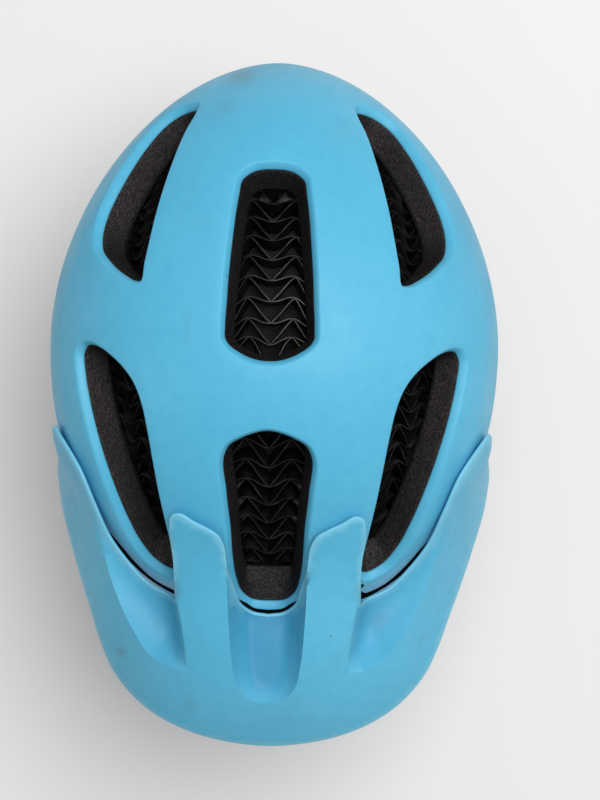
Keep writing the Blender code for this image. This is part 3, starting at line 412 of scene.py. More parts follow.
def triangulate(loops, spacing, guides=()):
    """Triangles over the first loop's hull. Inside it, edges follow the other loops and the guides
    (open paths), and a grid of points fills the rest."""
    corners = list(np.vstack(loops))
    edges = []
    numbers = []
    first = 0
    for loop in loops:
        count = len(loop)
        numbers.append(np.arange(first, first + count))
        edges += [(first + i, first + (i + 1) % count) for i in range(count)]
        first += count
    for guide in guides:
        corners += list(guide)
        edges += [(first + i, first + i + 1) for i in range(len(guide) - 1)]
        first += len(guide)
    low, high = loops[0].min(axis=0), loops[0].max(axis=0)
    rows = np.arange(low[1] + spacing / 2, high[1], spacing * math.sqrt(0.75))
    grid = np.array([(x + (row % 2) * spacing / 2, y) for row, y in enumerate(rows)
                     for x in np.arange(low[0] + spacing / 4, high[0], spacing)])
    grid = grid[inside(grid, loops[0])]
    for path in [rejoined(loop) for loop in loops] + list(guides):
        grid = grid[distance(grid, path) > 0.6 * spacing]
    corners += list(grid)
    found = delaunay_2d_cdt([Vector(point) for point in corners], edges, [], 0, 1e-6)
    flat = np.array([tuple(point) for point in found[0]])
    place = {source: i for i, sources in enumerate(found[3]) for source in sources}
    loops_out = [np.array([place[number] for number in loop]) for loop in numbers]
    return flat, np.array([tuple(face) for face in found[2]]), loops_out


def sweep(path, across, section):
    """A section of (across, thickness) pairs carried along a path, capped at both ends. Each point
    also gets its distance along and across the path, in metres."""
    path = np.asarray(path, float)
    tangent = unit(np.gradient(path, axis=0))
    wide = np.broadcast_to(np.asarray(across, float), path.shape)
    wide = unit(wide - tangent * (wide * tangent).sum(-1, keepdims=True))
    thick = np.cross(tangent, wide)
    piece = Piece()
    loops = []
    for p, w, k, s in zip(path, wide, thick, run_along(path)):
        ring = [p + w * a + k * b for a, b in section]
        loops.append(piece.add(ring, along=s * MM, across=[a * MM for a, b in section]))
    piece.bridge(*loops)
    piece.faces += [loops[0], loops[-1]]
    return piece


# ---- materials

class Material:
    """A Principled material with short calls for its nodes. Coordinates are the object's own, in
    metres."""

    def __init__(self, name, colour, roughness, **sockets):
        self.made = bpy.data.materials.new(name)
        self.made.use_nodes = True
        self.tree = self.made.node_tree
        self.shader = self.tree.nodes["Principled BSDF"]
        self.shader.inputs["Base Color"].default_value = (*colour, 1.0)
        self.shader.inputs["Roughness"].default_value = roughness
        for socket, value in sockets.items():
            self.shader.inputs[socket.replace("_", " ")].default_value = value
        self.made.diffuse_color = (*colour, 1.0)
        self.place = self.node("TexCoord").outputs["Object"]
        self.height = None

    def node(self, kind, **inputs):
        made = self.tree.nodes.new("ShaderNode" + kind)
        for key, value in inputs.items():
            self.feed(made.inputs[key.replace("_", " ")], value)
        return made

    def feed(self, socket, value):
        if isinstance(value, bpy.types.NodeSocket):
            self.tree.links.new(value, socket)
        else:
            socket.default_value = value

    def stretched(self, x, y, z):
        return self.node("Mapping", Vector=self.place, Scale=(x, y, z)).outputs["Vector"]

    def noise(self, scale, detail=3.0, roughness=0.55, place=None):
        made = self.node("TexNoise", Vector=place or self.place, Scale=scale, Detail=detail,
                         Roughness=roughness)
        return made.outputs["Fac"]

    def clouds(self, scale, detail, *levels):
        """Noise mapped from its low and high levels, with smooth ends."""
        return self.between(self.noise(scale, detail), *levels)

    def cells(self, scale, feature="F1", place=None):
        made = self.node("TexVoronoi", Vector=place or self.place, Scale=scale)
        made.feature = feature
        return made

    def waves(self, direction, **inputs):
        made = self.node("TexWave", **inputs)
        made.bands_direction = direction
        return made.outputs["Fac"]

    def value(self, name):
        """A value stored on the mesh's points."""
        made = self.node("Attribute")
        made.attribute_name = name
        return made.outputs["Fac"]

    def upward(self):
        """How far the surface faces up, from -1 to 1."""
        facing = self.node("NewGeometry").outputs["Normal"]
        return self.node("SeparateXYZ", Vector=facing).outputs["Z"]

    def math(self, operation, first, second=0.5):
        made = self.node("Math")
        made.operation = operation
        self.feed(made.inputs[0], first)
        self.feed(made.inputs[1], second)
        return made.outputs["Value"]

    def times(self, first, second):
        return self.math("MULTIPLY", first, second)

    def between(self, value, low, high, to_low=0.0, to_high=1.0):
        """The value mapped from low..high, with smooth ends."""
        made = self.node("MapRange", Value=value, From_Min=low, From_Max=high, To_Min=to_low,
                         To_Max=to_high)
        made.interpolation_type = "SMOOTHSTEP"
        return made.outputs["Result"]

    def mix(self, factor, first, second):
        """One colour laid over another by a factor."""
        made = self.node("Mix")
        made.data_type = "RGBA"
        self.feed(made.inputs[0], factor)
        for socket, colour in ((made.inputs[6], first), (made.inputs[7], second)):
            self.feed(socket, colour if isinstance(colour, bpy.types.NodeSocket) else (*colour, 1.0))
        return made.outputs[2]

    def colour(self, value):
        self.feed(self.shader.inputs["Base Color"], value)

    def rough(self, value):
        self.feed(self.shader.inputs["Roughness"], value)

    def bump(self, height, depth):
        """Relief that is a depth in metres where the height goes from 0 to 1."""
        made = self.node("Bump", Height=height, Distance=depth)
        if self.height is not None:
            self.feed(made.inputs["Normal"], self.height)
        self.height = made.outputs["Normal"]
        self.feed(self.shader.inputs["Normal"], self.height)


def paler(colour, times):
    """The same colour, several times lighter and a little lifted."""
    return tuple(channel * times + 0.006 for channel in colour)


def painted_shell(name):
    """Matte blue shell: even colour with faint cloudiness, rubbed edges that are partly a painted
    highlight, a few grey scuffs and specks, grey marks and wider painted shade, painted shade in the
    visor's hollows and a painted shadow line along the visor's inner edge.
    """
    made = Material(name, BLUE, 0.5)
    cloud = made.clouds(9.0, 2.0, 0.3, 0.7)
    colour = made.mix(cloud, BLUE, BLUE_PALE)
    mottle = made.clouds(160.0, 4.0, 0.35, 0.75, 0.0, 0.25)
    colour = made.mix(mottle, colour, BLUE_DEEP)
    # Rubbed paler edges, partly a painted highlight.
    colour = made.mix(made.times(made.value("edge"), 0.55), colour, BLUE_WORN_AND_HIGHLIGHT)
    scuff_area = made.clouds(14.0, 1.0, 0.57, 0.68)
    scratches = made.between(made.noise(60.0, 6.0, 0.7, made.stretched(1.0, 0.25, 1.0)), 0.56, 0.7)
    scuffs = made.times(made.times(scuff_area, scratches), 0.22)
    colour = made.mix(scuffs, colour, GRIME_AND_SHADE)
    # Grey marks, and wider painted shade over parts of the shell and visor.
    colour = made.mix(made.times(made.value("smudge"), 0.5), colour, GRIME_AND_SHADE)
    specks = made.between(made.cells(75.0).outputs["Distance"], 0.03, 0.055, 0.45, 0.0)
    chosen = made.clouds(21.0, 0.0, 0.63, 0.66)
    colour = made.mix(made.times(specks, chosen), colour, (0.02, 0.03, 0.035))
    # Painted shade in the visor's scoops and channel.
    colour = made.mix(made.value("hollow"), colour, BLUE_PAINTED_SHADE)
    # Painted shadow: a black line without gloss along the gap under the visor's inner edge; the underside
    # is black too.
    hidden = made.value("hidden")
    border = (COVERED - COVER_BLUR, COVERED + COVER_BLUR)
    made.colour(made.mix(made.between(hidden, *border), colour, UNDERSIDE_AND_GAP_SHADOW))
    gloss = made.between(hidden, *border, SHELL_GLOSS, 0.0)
    made.feed(made.shader.inputs["Specular IOR Level"], gloss)
    made.rough(made.clouds(45.0, 5.0, 0.3, 0.75, 0.42, 0.56))
    made.bump(made.noise(1500.0, 2.0), 0.00003)
    made.bump(made.noise(220.0, 3.0), 0.00004)
    return made.made


BEAD_SCALE = 700.0


def bead_foam(name):
    """Moulded foam: packed beads over 1 mm across with paler joints, and painted shade on steeper faces.
    """
    made = Material(name, BEAD, 0.75, Specular_IOR_Level=0.25)
    warp = made.node("TexNoise", Vector=made.place, Scale=90.0, Detail=2.0)
    drift = made.node("VectorMath")
    drift.operation = "MULTIPLY_ADD"
    made.feed(drift.inputs[0], warp.outputs["Color"])
    drift.inputs[1].default_value = (0.004, 0.004, 0.004)
    made.feed(drift.inputs[2], made.place)
    place = drift.outputs["Vector"]
    beads = made.cells(BEAD_SCALE, "F1", place)
    joints = made.cells(BEAD_SCALE, "DISTANCE_TO_EDGE", place).outputs["Distance"]
    tone = made.clouds(330.0, 3.0, 0.3, 0.7)
    colour = made.mix(tone, BEAD, BEAD_PALE)
    grain = made.node("SeparateColor", Color=beads.outputs["Color"])
    colour = made.mix(made.between(grain.outputs[0], 0.0, 1.0, 0.0, 0.55), colour, BEAD_DARK)
    colour = made.mix(made.between(joints, 0.02, 0.12, 0.5, 0.0), colour, BEAD_JOINT)
    # Painted shade: faces that turn away from straight up are darkened.
    made.colour(made.mix(made.between(made.upward(), 0.55, 0.95, 0.7, 0.0), colour, BEAD_DARK))
    made.rough(made.between(grain.outputs[1], 0.0, 1.0, 0.55, 0.85))
    made.bump(made.between(joints, 0.0, 0.3), 0.00018)
    made.bump(made.noise(2500.0, 2.0), 0.00003)
    return made.made


def cell_plastic(name):
    """Thin dark film walls, semi-gloss, with a painted highlight along their top edges."""
    made = Material(name, (0.012, 0.012, 0.013), 0.34, Specular_IOR_Level=0.2)
    streak = made.between(made.noise(260.0, 4.0, 0.6, made.stretched(1.0, 1.0, 0.12)), 0.35, 0.75)
    colour = made.mix(streak, (0.004, 0.004, 0.005), (0.014, 0.012, 0.011))
    # Painted highlight along the top edges, broken up by noise.
    broken = made.clouds(120.0, 4.0, 0.46, 0.68)
    edge = made.times(made.value("cut"), made.math("ADD", made.times(broken, 0.9), 0.05))
    made.colour(made.mix(edge, colour, CELL_EDGE_HIGHLIGHT))
    made.rough(made.clouds(180.0, 4.0, 0.3, 0.7, 0.24, 0.46))
    made.bump(made.noise(700.0, 3.0), 0.00006)
    return made.made


def moulded(name, colour=(0.017, 0.017, 0.018), roughness=0.46, grain=1400.0):
    """Moulded black plastic with a fine spark-eroded grain and a little handling shine."""
    made = Material(name, colour, roughness)
    dust = made.clouds(70.0, 4.0, 0.45, 0.8, 0.0, 0.35)
    made.colour(made.mix(dust, colour, paler(colour, 1.9)))
    made.rough(made.clouds(35.0, 4.0, 0.3, 0.7, roughness - 0.08, roughness + 0.08))
    made.bump(made.cells(grain).outputs["Distance"], 0.00005)
    return made.made


def knit(name):
    """Brushed knit over a soft pad: fine interlocked stitches about 1 mm apart, with lint."""
    dark = (0.008, 0.008, 0.0095)
    made = Material(name, dark, 0.92, Sheen_Weight=0.16, Sheen_Roughness=0.5,
                    Sheen_Tint=(0.5, 0.52, 0.56, 1.0), Specular_IOR_Level=0.3)
    stitches = {"Scale": 320.0, "Distortion": 1.6, "Detail": 1.0, "Detail_Scale": 3.0}
    rows = made.waves("DIAGONAL", Vector=made.place, **stitches)
    ribs = made.waves("DIAGONAL", Vector=made.stretched(1.0, -1.0, 1.0), **stitches)
    weave = made.times(rows, ribs)
    fibre = made.noise(2200.0, 3.0)
    tone = made.math("ADD", made.times(weave, 0.6), made.times(fibre, 0.4))
    colour = made.mix(made.between(tone, 0.15, 0.8), dark, paler(dark, 2.6))
    lint = made.between(made.noise(500.0, 5.0, 0.8), 0.68, 0.78, 0.0, 0.35)
    made.colour(made.mix(lint, colour, (0.08, 0.08, 0.087)))
    made.bump(weave, 0.00022)
    made.bump(fibre, 0.00006)
    return made.made


def webbing(name):
    """Woven strap: twill ribs across, a flat selvedge on each side, by the strap's own coordinates."""
    made = Material(name, (0.014, 0.014, 0.016), 0.72, Sheen_Weight=0.2)
    across = made.value("across")
    flat = made.node("CombineXYZ", X=made.value("along"), Y=across).outputs["Vector"]
    ribs = made.waves("X", Vector=flat, Scale=190.0, Distortion=0.0)
    twill = made.waves("DIAGONAL", Vector=flat, Scale=260.0, Distortion=0.4, Detail=1.0)
    weave = made.times(ribs, made.math("ADD", made.times(twill, 0.6), 0.4))
    side = made.between(made.math("ABSOLUTE", across), 0.0058, 0.0064)
    height = made.math("MAXIMUM", weave, made.times(side, 0.8))
    fibre = made.noise(3000.0, 2.0)
    tone = made.math("ADD", made.times(height, 0.7), made.times(fibre, 0.3))
    made.colour(made.mix(made.between(tone, 0.1, 0.9), (0.007, 0.007, 0.008), (0.036, 0.036, 0.04)))
    made.bump(height, 0.00016)
    return made.made


def lace_cord(name):
    """Thin nylon lace."""
    made = Material(name, (0.02, 0.02, 0.022), 0.4)
    twist = made.waves("DIAGONAL", Vector=made.place, Scale=900.0, Distortion=0.5)
    made.colour(made.mix(twist, (0.012, 0.012, 0.013), (0.05, 0.05, 0.055)))
    made.bump(twist, 0.0001)
    return made.made


def rubber(name):
    """Soft black rubber, dusty in its texture."""
    made = Material(name, (0.02, 0.02, 0.02), 0.8)
    dust = made.clouds(400.0, 5.0, 0.4, 0.8)
    made.colour(made.mix(dust, (0.015, 0.015, 0.015), (0.05, 0.05, 0.05)))
    made.bump(made.noise(1200.0, 3.0), 0.00008)
    return made.made


def bare_steel(name):
    """Plated steel with fine turning marks."""
    made = Material(name, (0.56, 0.56, 0.58), 0.3, Metallic=1.0)
    marks = made.noise(500.0, 4.0, 0.6, made.stretched(1.0, 1.0, 8.0))
    made.colour(made.mix(marks, (0.44, 0.44, 0.46), (0.64, 0.64, 0.66)))
    made.rough(made.between(marks, 0.3, 0.7, 0.22, 0.42))
    made.bump(marks, 0.00002)
    return made.made


def plain_floor(name):
    """Pale matt floor."""
    made = Material(name, (0.94, 0.94, 0.94), 0.9)
    made.colour(made.mix(made.noise(3.0, 4.0), (0.93, 0.93, 0.93), (0.95, 0.95, 0.95)))
    return made.made


# ---- shells, foam and cells

# Spacing, in (u, v), of the triangles that the shell and the foam share.
FINE = 0.021
# The rolled edge of a vent: distance in from its outline and depth.
VENT_EDGE = [(0.3, 0.06), (0.7, 0.3), (1.1, 0.75), (1.5, 1.35), (1.9, 2.1), (2.25, 2.9), (2.4, 3.4),
             (2.4, 3.9), (2.2, 4.2)]
# The soft crease: distance in from the widest line, height, reach, rounding and the length of t.
CREASE_BAND = 9.3
CREASE_RAISE = 0.8
CREASE_REACH = 7.0
CREASE_ROUND = 1.4
T_LENGTH = 230.0
# The black line along the visor's inner edge is painted shadow, for the shade in the gap under that
# edge: its width outside that edge, its reach inside it, and the y ranges where it fades and ends. The
# shell is black where its stored value for this is over COVERED, and on its underside.
GAP_LINE = 2.2
GAP_REACH = 15.0
GAP_REAR = -60.0
NOTCH_FADE = (-124.0, -118.0)
ARM_FADE = (-100.0, -78.0)
ARM_END = (-90.0, -74.0)
COVERED = 9.0
COVER_BLUR = 0.12
SHELL_GLOSS = 0.28
# Soft grey marks, and wider ones that are painted shade: place in plan, radius and strength.
SMUDGES_AND_SHADE = [((-18.0, 127.0), 6.5, 0.8), ((-24.0, 108.0), 4.0, 0.35), ((48.0, -84.0), 5.0, 0.25),
           ((-62.0, 30.0), 4.0, 0.25), ((30.0, 96.0), 7.0, 0.2), ((0.0, 148.0), 26.0, 0.34),
           ((104.0, 64.0), 22.0, 0.34), ((-84.0, -112.0), 26.0, 0.2)]
VISOR_SMUDGES_AND_SHADE = [((51.5, -130.0), 5.0, 0.6), ((-70.5, -149.0), 2.2, 0.8), ((-36.0, -171.0), 3.0, 0.4),
                 ((74.0, -139.0), 2.0, 0.5), ((0.0, -200.0), 42.0, 0.32), ((-72.0, -160.0), 30.0, 0.36),
                 ((70.0, -168.0), 24.0, 0.12)]


def crease_table():
    """Surface position of the crease, where the top turns into the side band, for each direction."""
    angles = np.linspace(-math.pi, math.pi, 361)
    steps = np.linspace(0.05, 1.0, 400)
    found = []
    for angle in angles:
        c = np.full_like(steps, math.cos(angle))
        s = np.full_like(steps, math.sin(angle))
        reach = meridian(steps, c, s)[0] * math.hypot(math.cos(angle), 0.6 * math.sin(angle))
        widest = reach.argmax()
        found.append(np.interp(reach[widest] - CREASE_BAND, reach[:widest + 1], steps[:widest + 1]))
    return angles, np.array(found)


def crease(uv):
    """How far the shell stands proud near its side crease."""
    angles, line = crease_table()
    t = np.hypot(uv[:, 0], uv[:, 1])
    turn = np.arctan2(uv[:, 1], uv[:, 0])
    away = (t - np.interp(turn, angles, line)) * T_LENGTH
    fade = 1.0 - smoothstep(0.62, 0.9, np.abs(np.sin(turn)))
    return CREASE_RAISE * np.exp(-np.sqrt(away**2 + CREASE_ROUND**2) / CREASE_REACH) * fade


def marks_and_shade(points, marks):
    """Strength of the soft marks and painted shade at each point, in plan."""
    total = np.zeros(len(points))
    for (x, y), radius, strength in marks:
        away = np.hypot(points[:, 0] - x, points[:, 1] - y)
        total = total + strength * np.exp(-(away / radius)**2)
    return total


def fine_cap():
    """The fine (u, v) triangulation that the shell and the foam share."""
    angles = np.linspace(0.0, 2 * math.pi, 300, endpoint=False)
    ring = np.stack([np.cos(angles), np.sin(angles)], axis=1)
    vents = [closed_curve(mirrored(TOP_VENT), 96) / 100.0, closed_curve(mirrored(FRONT_VENT), 120) / 100.0]
    for outline, count in ((SIDE_FRONT_VENT, 130), (SIDE_REAR_VENT, 112), (EXHAUST_VENT, 70)):
        loop = closed_curve(outline, count) / 100.0
        vents += [loop, flipped(loop)]
    uv, triangles, numbers = triangulate([ring * SHELL_EDGE] + vents, FINE)
    centres = uv[triangles].mean(axis=1)
    covered = np.ones(len(triangles), bool)
    for vent in vents:
        covered &= ~inside(centres, vent)
    shelves = [-1.0, FRONT_SHELF, SIDE_SHELF, SIDE_SHELF] + [-1.0] * 4
    return {"uv": uv, "rim": numbers[0], "vents": numbers[1:], "shelves": shelves,
            "triangles": triangles[covered]}


def gap_line(points):
    """How far each point is inside the painted shadow line along the visor's inner edge, in millimetres
    above COVERED. The line narrows to nothing on the arms and beside the notch."""
    found = np.zeros(len(points))
    near = points[:, 1] < GAP_REAR
    place = points[near] * np.where(points[near, :1] < 0.0, (-1.0, 1.0, 1.0), (1.0, 1.0, 1.0))
    away, apart = [], []
    for path in (open_curve(VISOR_INNER, 60), open_curve(VISOR_PRONG[-4:], 20)):
        raised = np.column_stack([path, visor_height(path[:, 0], path[:, 1])])
        away.append(distance(place[:, :2], path))
        apart.append(distance(place, raised))
    y = place[:, 1]
    at_notch = away[1] < away[0]
    fade = np.where(at_notch, smoothstep(*NOTCH_FADE, y), smoothstep(*ARM_FADE, y))
    ending = np.where(at_notch, fade, smoothstep(*ARM_END, y))
    away, apart = np.min(away, axis=0), np.min(apart, axis=0)
    within = inside(place[:, :2], visor_outline())
    outer = np.where(within, away, -away) + GAP_LINE * (1.0 - 2.0 * fade)
    found[near] = np.maximum(np.minimum(outer, GAP_REACH * (1.0 - ending) - apart) + COVERED, 0.0)
    return found


def shell_skin(cap):
    """Outer shell, with its soft side crease and an edge rolled down into each vent."""
    piece = Piece()
    uv = cap["uv"]
    top_points = skin(uv, -crease(uv))
    # Painted shadow line along the visor's inner edge; the underside is black.
    top = piece.add(top_points, smudge=marks_and_shade(top_points, SMUDGES_AND_SHADE), hidden=gap_line(top_points))
    under = piece.add(skin(uv, SHELL), hidden=2.0 * COVERED)
    piece.cover(top, cap["triangles"])
    piece.cover(under, cap["triangles"])
    lower = piece.add(skin(uv[cap["rim"]], SHELL * 0.5) - (0.0, 0.0, 0.25))
    piece.bridge(top[cap["rim"]], lower, under[cap["rim"]])
    for vent in cap["vents"]:
        loops = [top[vent]]
        for across, down in VENT_EDGE:
            lip = inset(uv[vent], across)
            rolled = skin(lip, down)
            loops.append(piece.add(rolled, hidden=gap_line(rolled)))
        loops.append(under[vent])
        piece.bridge(*loops)
    return piece


def foam_body(cap):
    """Foam with walled vents, slightly waisted walls, and a rounded lip at the rim."""
    piece = Piece()
    uv = cap["uv"]
    top = piece.add(skin(uv, SHELL + GAP))
    under = piece.add(skin(uv, foam_depth(uv)))
    piece.cover(top, cap["triangles"])
    piece.cover(under, cap["triangles"])
    first = VENT_ROLL + GAP
    for vent, shelf in zip(cap["vents"], cap["shelves"]):
        loops = [top[vent]]
        start = VENT_DROP + SHELL + 2 * GAP
        lip = inset(uv[vent], first)
        edge = inset(uv[vent], first + VENT_DRAFT)
        edge[:, 1] = np.maximum(edge[:, 1], shelf)
        for step in np.linspace(0.0, 1.0, 10):
            wall = lip + (edge - lip) * step
            loops.append(piece.add(skin(wall, start + (foam_depth(wall) - 1.2 - start) * step)))
        foot = inset(uv[vent], first + VENT_DRAFT - 0.7)
        foot[:, 1] = np.maximum(foot[:, 1], shelf - 0.004)
        loops.append(piece.add(skin(foot, foam_depth(foot))))
        loops.append(under[vent])
        piece.bridge(*loops)
    direction = unit(uv[cap["rim"]])
    rings = [(0.96, SHELL + GAP), (0.99, SHELL + GAP), (1.0, SHELL + GAP + 0.8), (1.0, FOAM_AT_RIM - 3.0),
             (0.995, FOAM_AT_RIM - 1.0), (0.98, FOAM_AT_RIM), (0.955, None)]
    loops = []
    for t, depth in rings:
        ring = direction * t
        loops.append(piece.add(skin(ring, foam_depth(ring) if depth is None else depth)))
    piece.bridge(top[cap["rim"]], *loops, under[cap["rim"]])
    return piece


def rim_shell(cap):
    """Black lower shell with a rolled bottom edge that turns in under the foam."""
    direction = unit(cap["uv"][cap["rim"]])
    down = unit(dome(direction) - dome(direction * 0.999))
    outer = [(SHELL_EDGE + 0.0035, 0.3, 0.0), (SHELL_EDGE + 0.006, 0.0, 0.0), (0.95, 0.0, 0.0),
             (0.975, 0.0, 0.0), (0.996, 0.0, 0.0), (1.0, 0.3, 0.9), (1.0, 0.9, 1.4), (1.0, 3.0, 1.5),
             (1.0, 6.4, 1.5), (1.0, 7.0, 1.1), (1.0, 7.0, 0.4), (1.0, SHELL, 0.3),
             (0.965, SHELL, 0.0), (SHELL_EDGE + 0.004, SHELL, 0.0)]
    piece = Piece()
    loops = [piece.add(skin(direction * t, depth) + down * drop) for t, depth, drop in outer]
    piece.bridge(*loops, loops[0])
    return piece


# The liner is laid out on a flat chart in millimetres; these scale it to the surface.
CHART_ACROSS = 220.0
CHART_REAR = 265.0
CHART_FRONT = (255.0, 85.0)
CELL_PITCH = 10.5
CELL_WAVE = 22.0
CELL_RISE = 2.3
CELL_WALL = 0.55
CELL_STEP = 1.25
CELL_ROWS = 20
CELL_LIMIT = 170.0
FOLD_ROUND = 0.62


def from_chart(flat):
    """Surface positions of points given in millimetres across and along the liner."""
    linear, square = CHART_FRONT
    rear = flat[:, 1] / CHART_REAR
    front = (linear - np.sqrt(linear**2 - 4 * square * np.clip(-flat[:, 1], 0.0, 190.0))) / (2 * square)
    return np.stack([flat[:, 0] / CHART_ACROSS, np.where(flat[:, 1] > 0.0, rear, -front)], axis=1)


def cell_strip(piece, shape, row):
    """One wavy wall of the cell liner, in chart millimetres, between the liner's two faces."""
    across = np.arange(-CELL_LIMIT, CELL_LIMIT + 0.1, CELL_STEP)
    middle = np.stack([across, row + shape(across)], axis=1)
    keep = np.hypot(*from_chart(middle).T) < CELL_EDGE
    if keep.sum() < 4:
        return
    middle = middle[keep]
    ahead = np.gradient(middle, axis=0)
    side = leftwards(ahead) * CELL_WALL / 2
    rings = []
    depths = [CELLS_FROM, CELLS_FROM + 0.35, CELLS_FROM + 0.8, 0.5 * (CELLS_FROM + CELLS_TO), CELLS_TO]
    for depth in depths:
        # Painted highlight: full on the top face and a little just below it.
        cut = 1.0 if depth == CELLS_FROM else 0.25 * (depth < CELLS_FROM + 0.5)
        left = piece.add(skin(from_chart(middle + side), depth), cut=cut)
        right = piece.add(skin(from_chart(middle - side), depth), cut=cut)
        rings.append((left, right))
    for (left, right), (lower_left, lower_right) in zip(rings[:-1], rings[1:]):
        piece.bridge(left, lower_left, closed=False)
        piece.bridge(right, lower_right, closed=False)
        for end in (0, -1):
            piece.faces.append((left[end], lower_left[end], lower_right[end], right[end]))
    piece.bridge(*rings[0], closed=False)
    piece.bridge(*rings[-1], closed=False)


def cell_walls():
    """Rows of shallow wavy walls with deep folded walls between them, points towards the front."""
    piece = Piece()
    wave = 2 * math.pi / CELL_WAVE
    fold = CELL_PITCH / 2 + CELL_RISE

    def shallow(x):
        return -CELL_RISE * np.cos(wave * x)

    def deep(x):
        phase = np.abs((x / CELL_WAVE + 0.5) % 1.0 - 0.5) * 2.0
        straight = 2.0 * phase - 1.0
        soft = np.tanh(straight / FOLD_ROUND) / math.tanh(1.0 / FOLD_ROUND)
        return fold * (0.75 * straight + 0.25 * soft) - CELL_PITCH / 2

    for row in np.arange(-CELL_ROWS, CELL_ROWS + 1) * CELL_PITCH:
        for shape in (shallow, deep):
            cell_strip(piece, shape, row)
    return piece


# ---- visor

# The outer edge rises towards the front; the section across is squarer towards the arms.
VISOR_REAR = -40.0
EDGE_Z = 48.0
EDGE_RISE = 40.0
EDGE_CURVE = 1.5
BRIM_POWER = 2.5
ARM_POWER = 3.5
ARM_POWER_Y = -50.0
ARM_POWER_FADE = 34.0
BLEND = 2.0
VISOR_SPACING = 2.2
VISOR_GRID = 2.4
VISOR_ROUND = 0.7
# Extra lines each side of a rib's crest, and how strong the painted shade in the hollows is.
CREST_SIDE = 0.6
SCOOP_PAINTED_SHADE = 0.5
CHANNEL_PAINTED_SHADE = 0.85


def visor_edge():
    """The visor's outer edge in plan, from the middle of its front to the tip of its arm."""
    beyond = (-VISOR_EDGE[1][0], VISOR_EDGE[1][1])
    line = open_curve([beyond, *VISOR_EDGE], 300)
    return np.vstack([VISOR_EDGE[:1], line[line[:, 0] > 0.1]])


def visor_half_width(y):
    """Half-width of the visor's outer edge."""
    edge = visor_edge()
    return np.interp(y, edge[:, 1], edge[:, 0])


def channel_depth(y):
    """Full depth of the channel between the ribs, which gets shallower towards the front."""
    return np.interp(-y, np.negative(CHANNEL_RUN), CHANNEL_DEPTH)


def visor_hollows(x, y):
    """Depths, at plan positions with x over 0, of the side scoops and the channel below the brim."""
    plan = np.stack([x, y], axis=-1)
    crease = open_curve(SCOOP_CREASE, 40)
    rib = open_curve(RIB_EDGE, 20)
    area = np.vstack([crease, rib[::-1]])
    reach = np.minimum(distance(plan, crease) / SIDE_SCOOP_REACH, 1.0)
    depth = SIDE_SCOOP_DEPTH * (1.0 - (1.0 - reach)**2)
    from_rib = np.minimum(distance(plan, rib) / RIB_WALL, 1.0)
    depth *= (1.0 - (1.0 - from_rib)**2) * inside(plan, area)

    channel = open_curve(CHANNEL_CREASE, 80)
    between_ribs = np.vstack([channel, [(-20.0, -167.2), (-20.0, -60.0)]])
    from_crease = np.minimum(distance(plan, channel) / CHANNEL_WALL, 1.0)
    middle = channel_depth(y) * (1.0 - (1.0 - from_crease)**2) * inside(plan, between_ribs)
    return depth, middle


def visor_height(x, y):
    """Height of the visor's top: a crowned brim with ribs, scooped out and kept off the shell."""
    x = np.abs(x)
    line = open_curve(VISOR_CENTRE, 60)
    centre = np.interp(y, line[:, 0], line[:, 1])
    forward = np.clip((VISOR_REAR - y) / (VISOR_FRONT + VISOR_REAR), 0.0, 1.0)
    edge = EDGE_Z + EDGE_RISE * forward**EDGE_CURVE
    power = BRIM_POWER + ARM_POWER * np.exp((y - ARM_POWER_Y) / ARM_POWER_FADE)
    across = np.clip(x / np.maximum(visor_half_width(y), 1.0), 0.0, 1.0)
    brim = centre - (centre - edge) * across**power

    scoop, channel = visor_hollows(x, y)
    open_top = brim - scoop - channel
    shell = height_above(x, y, VISOR_CLEARANCE)
    return 0.5 * (open_top + shell + np.hypot(open_top - shell, BLEND))


def visor_outline():
    """The visor in plan: outer edge, arm tip, inner edge, prong and centre scoop, then mirrored."""
    outer = visor_edge()
    tip = open_curve([outer[-1], (104.8, -42.4), (103.4, -40.8), VISOR_INNER[0]], 40)
    inner = open_curve(VISOR_INNER, 60)
    prong = open_curve([VISOR_INNER[-1], *VISOR_PRONG], 120)
    pieces = []
    for line, finer in ((outer, 1), (tip, 4), (inner, 1), (prong, 2)):
        count = max(int(run_along(line)[-1] * finer / VISOR_SPACING), 3)
        pieces.append(resample(line, count + 1)[:-1])
    half = np.vstack([*pieces, [(0.0, VISOR_PRONG[-1][1])]])
    return np.vstack([half, half[1:-1][::-1] * (-1.0, 1.0)])


def visor_place(flat, depth):
    """Points of the visor at a depth below its top, measured along its normal."""
    x, y = flat[:, 0], flat[:, 1]
    step = 0.2
    dx = (visor_height(x + step, y) - visor_height(x - step, y)) / (2 * step)
    dy = (visor_height(x, y + step) - visor_height(x, y - step)) / (2 * step)
    up = unit(np.stack([-dx, -dy, np.ones_like(dx)], axis=1))
    return np.stack([x, y, visor_height(x, y)], axis=1) - up * depth


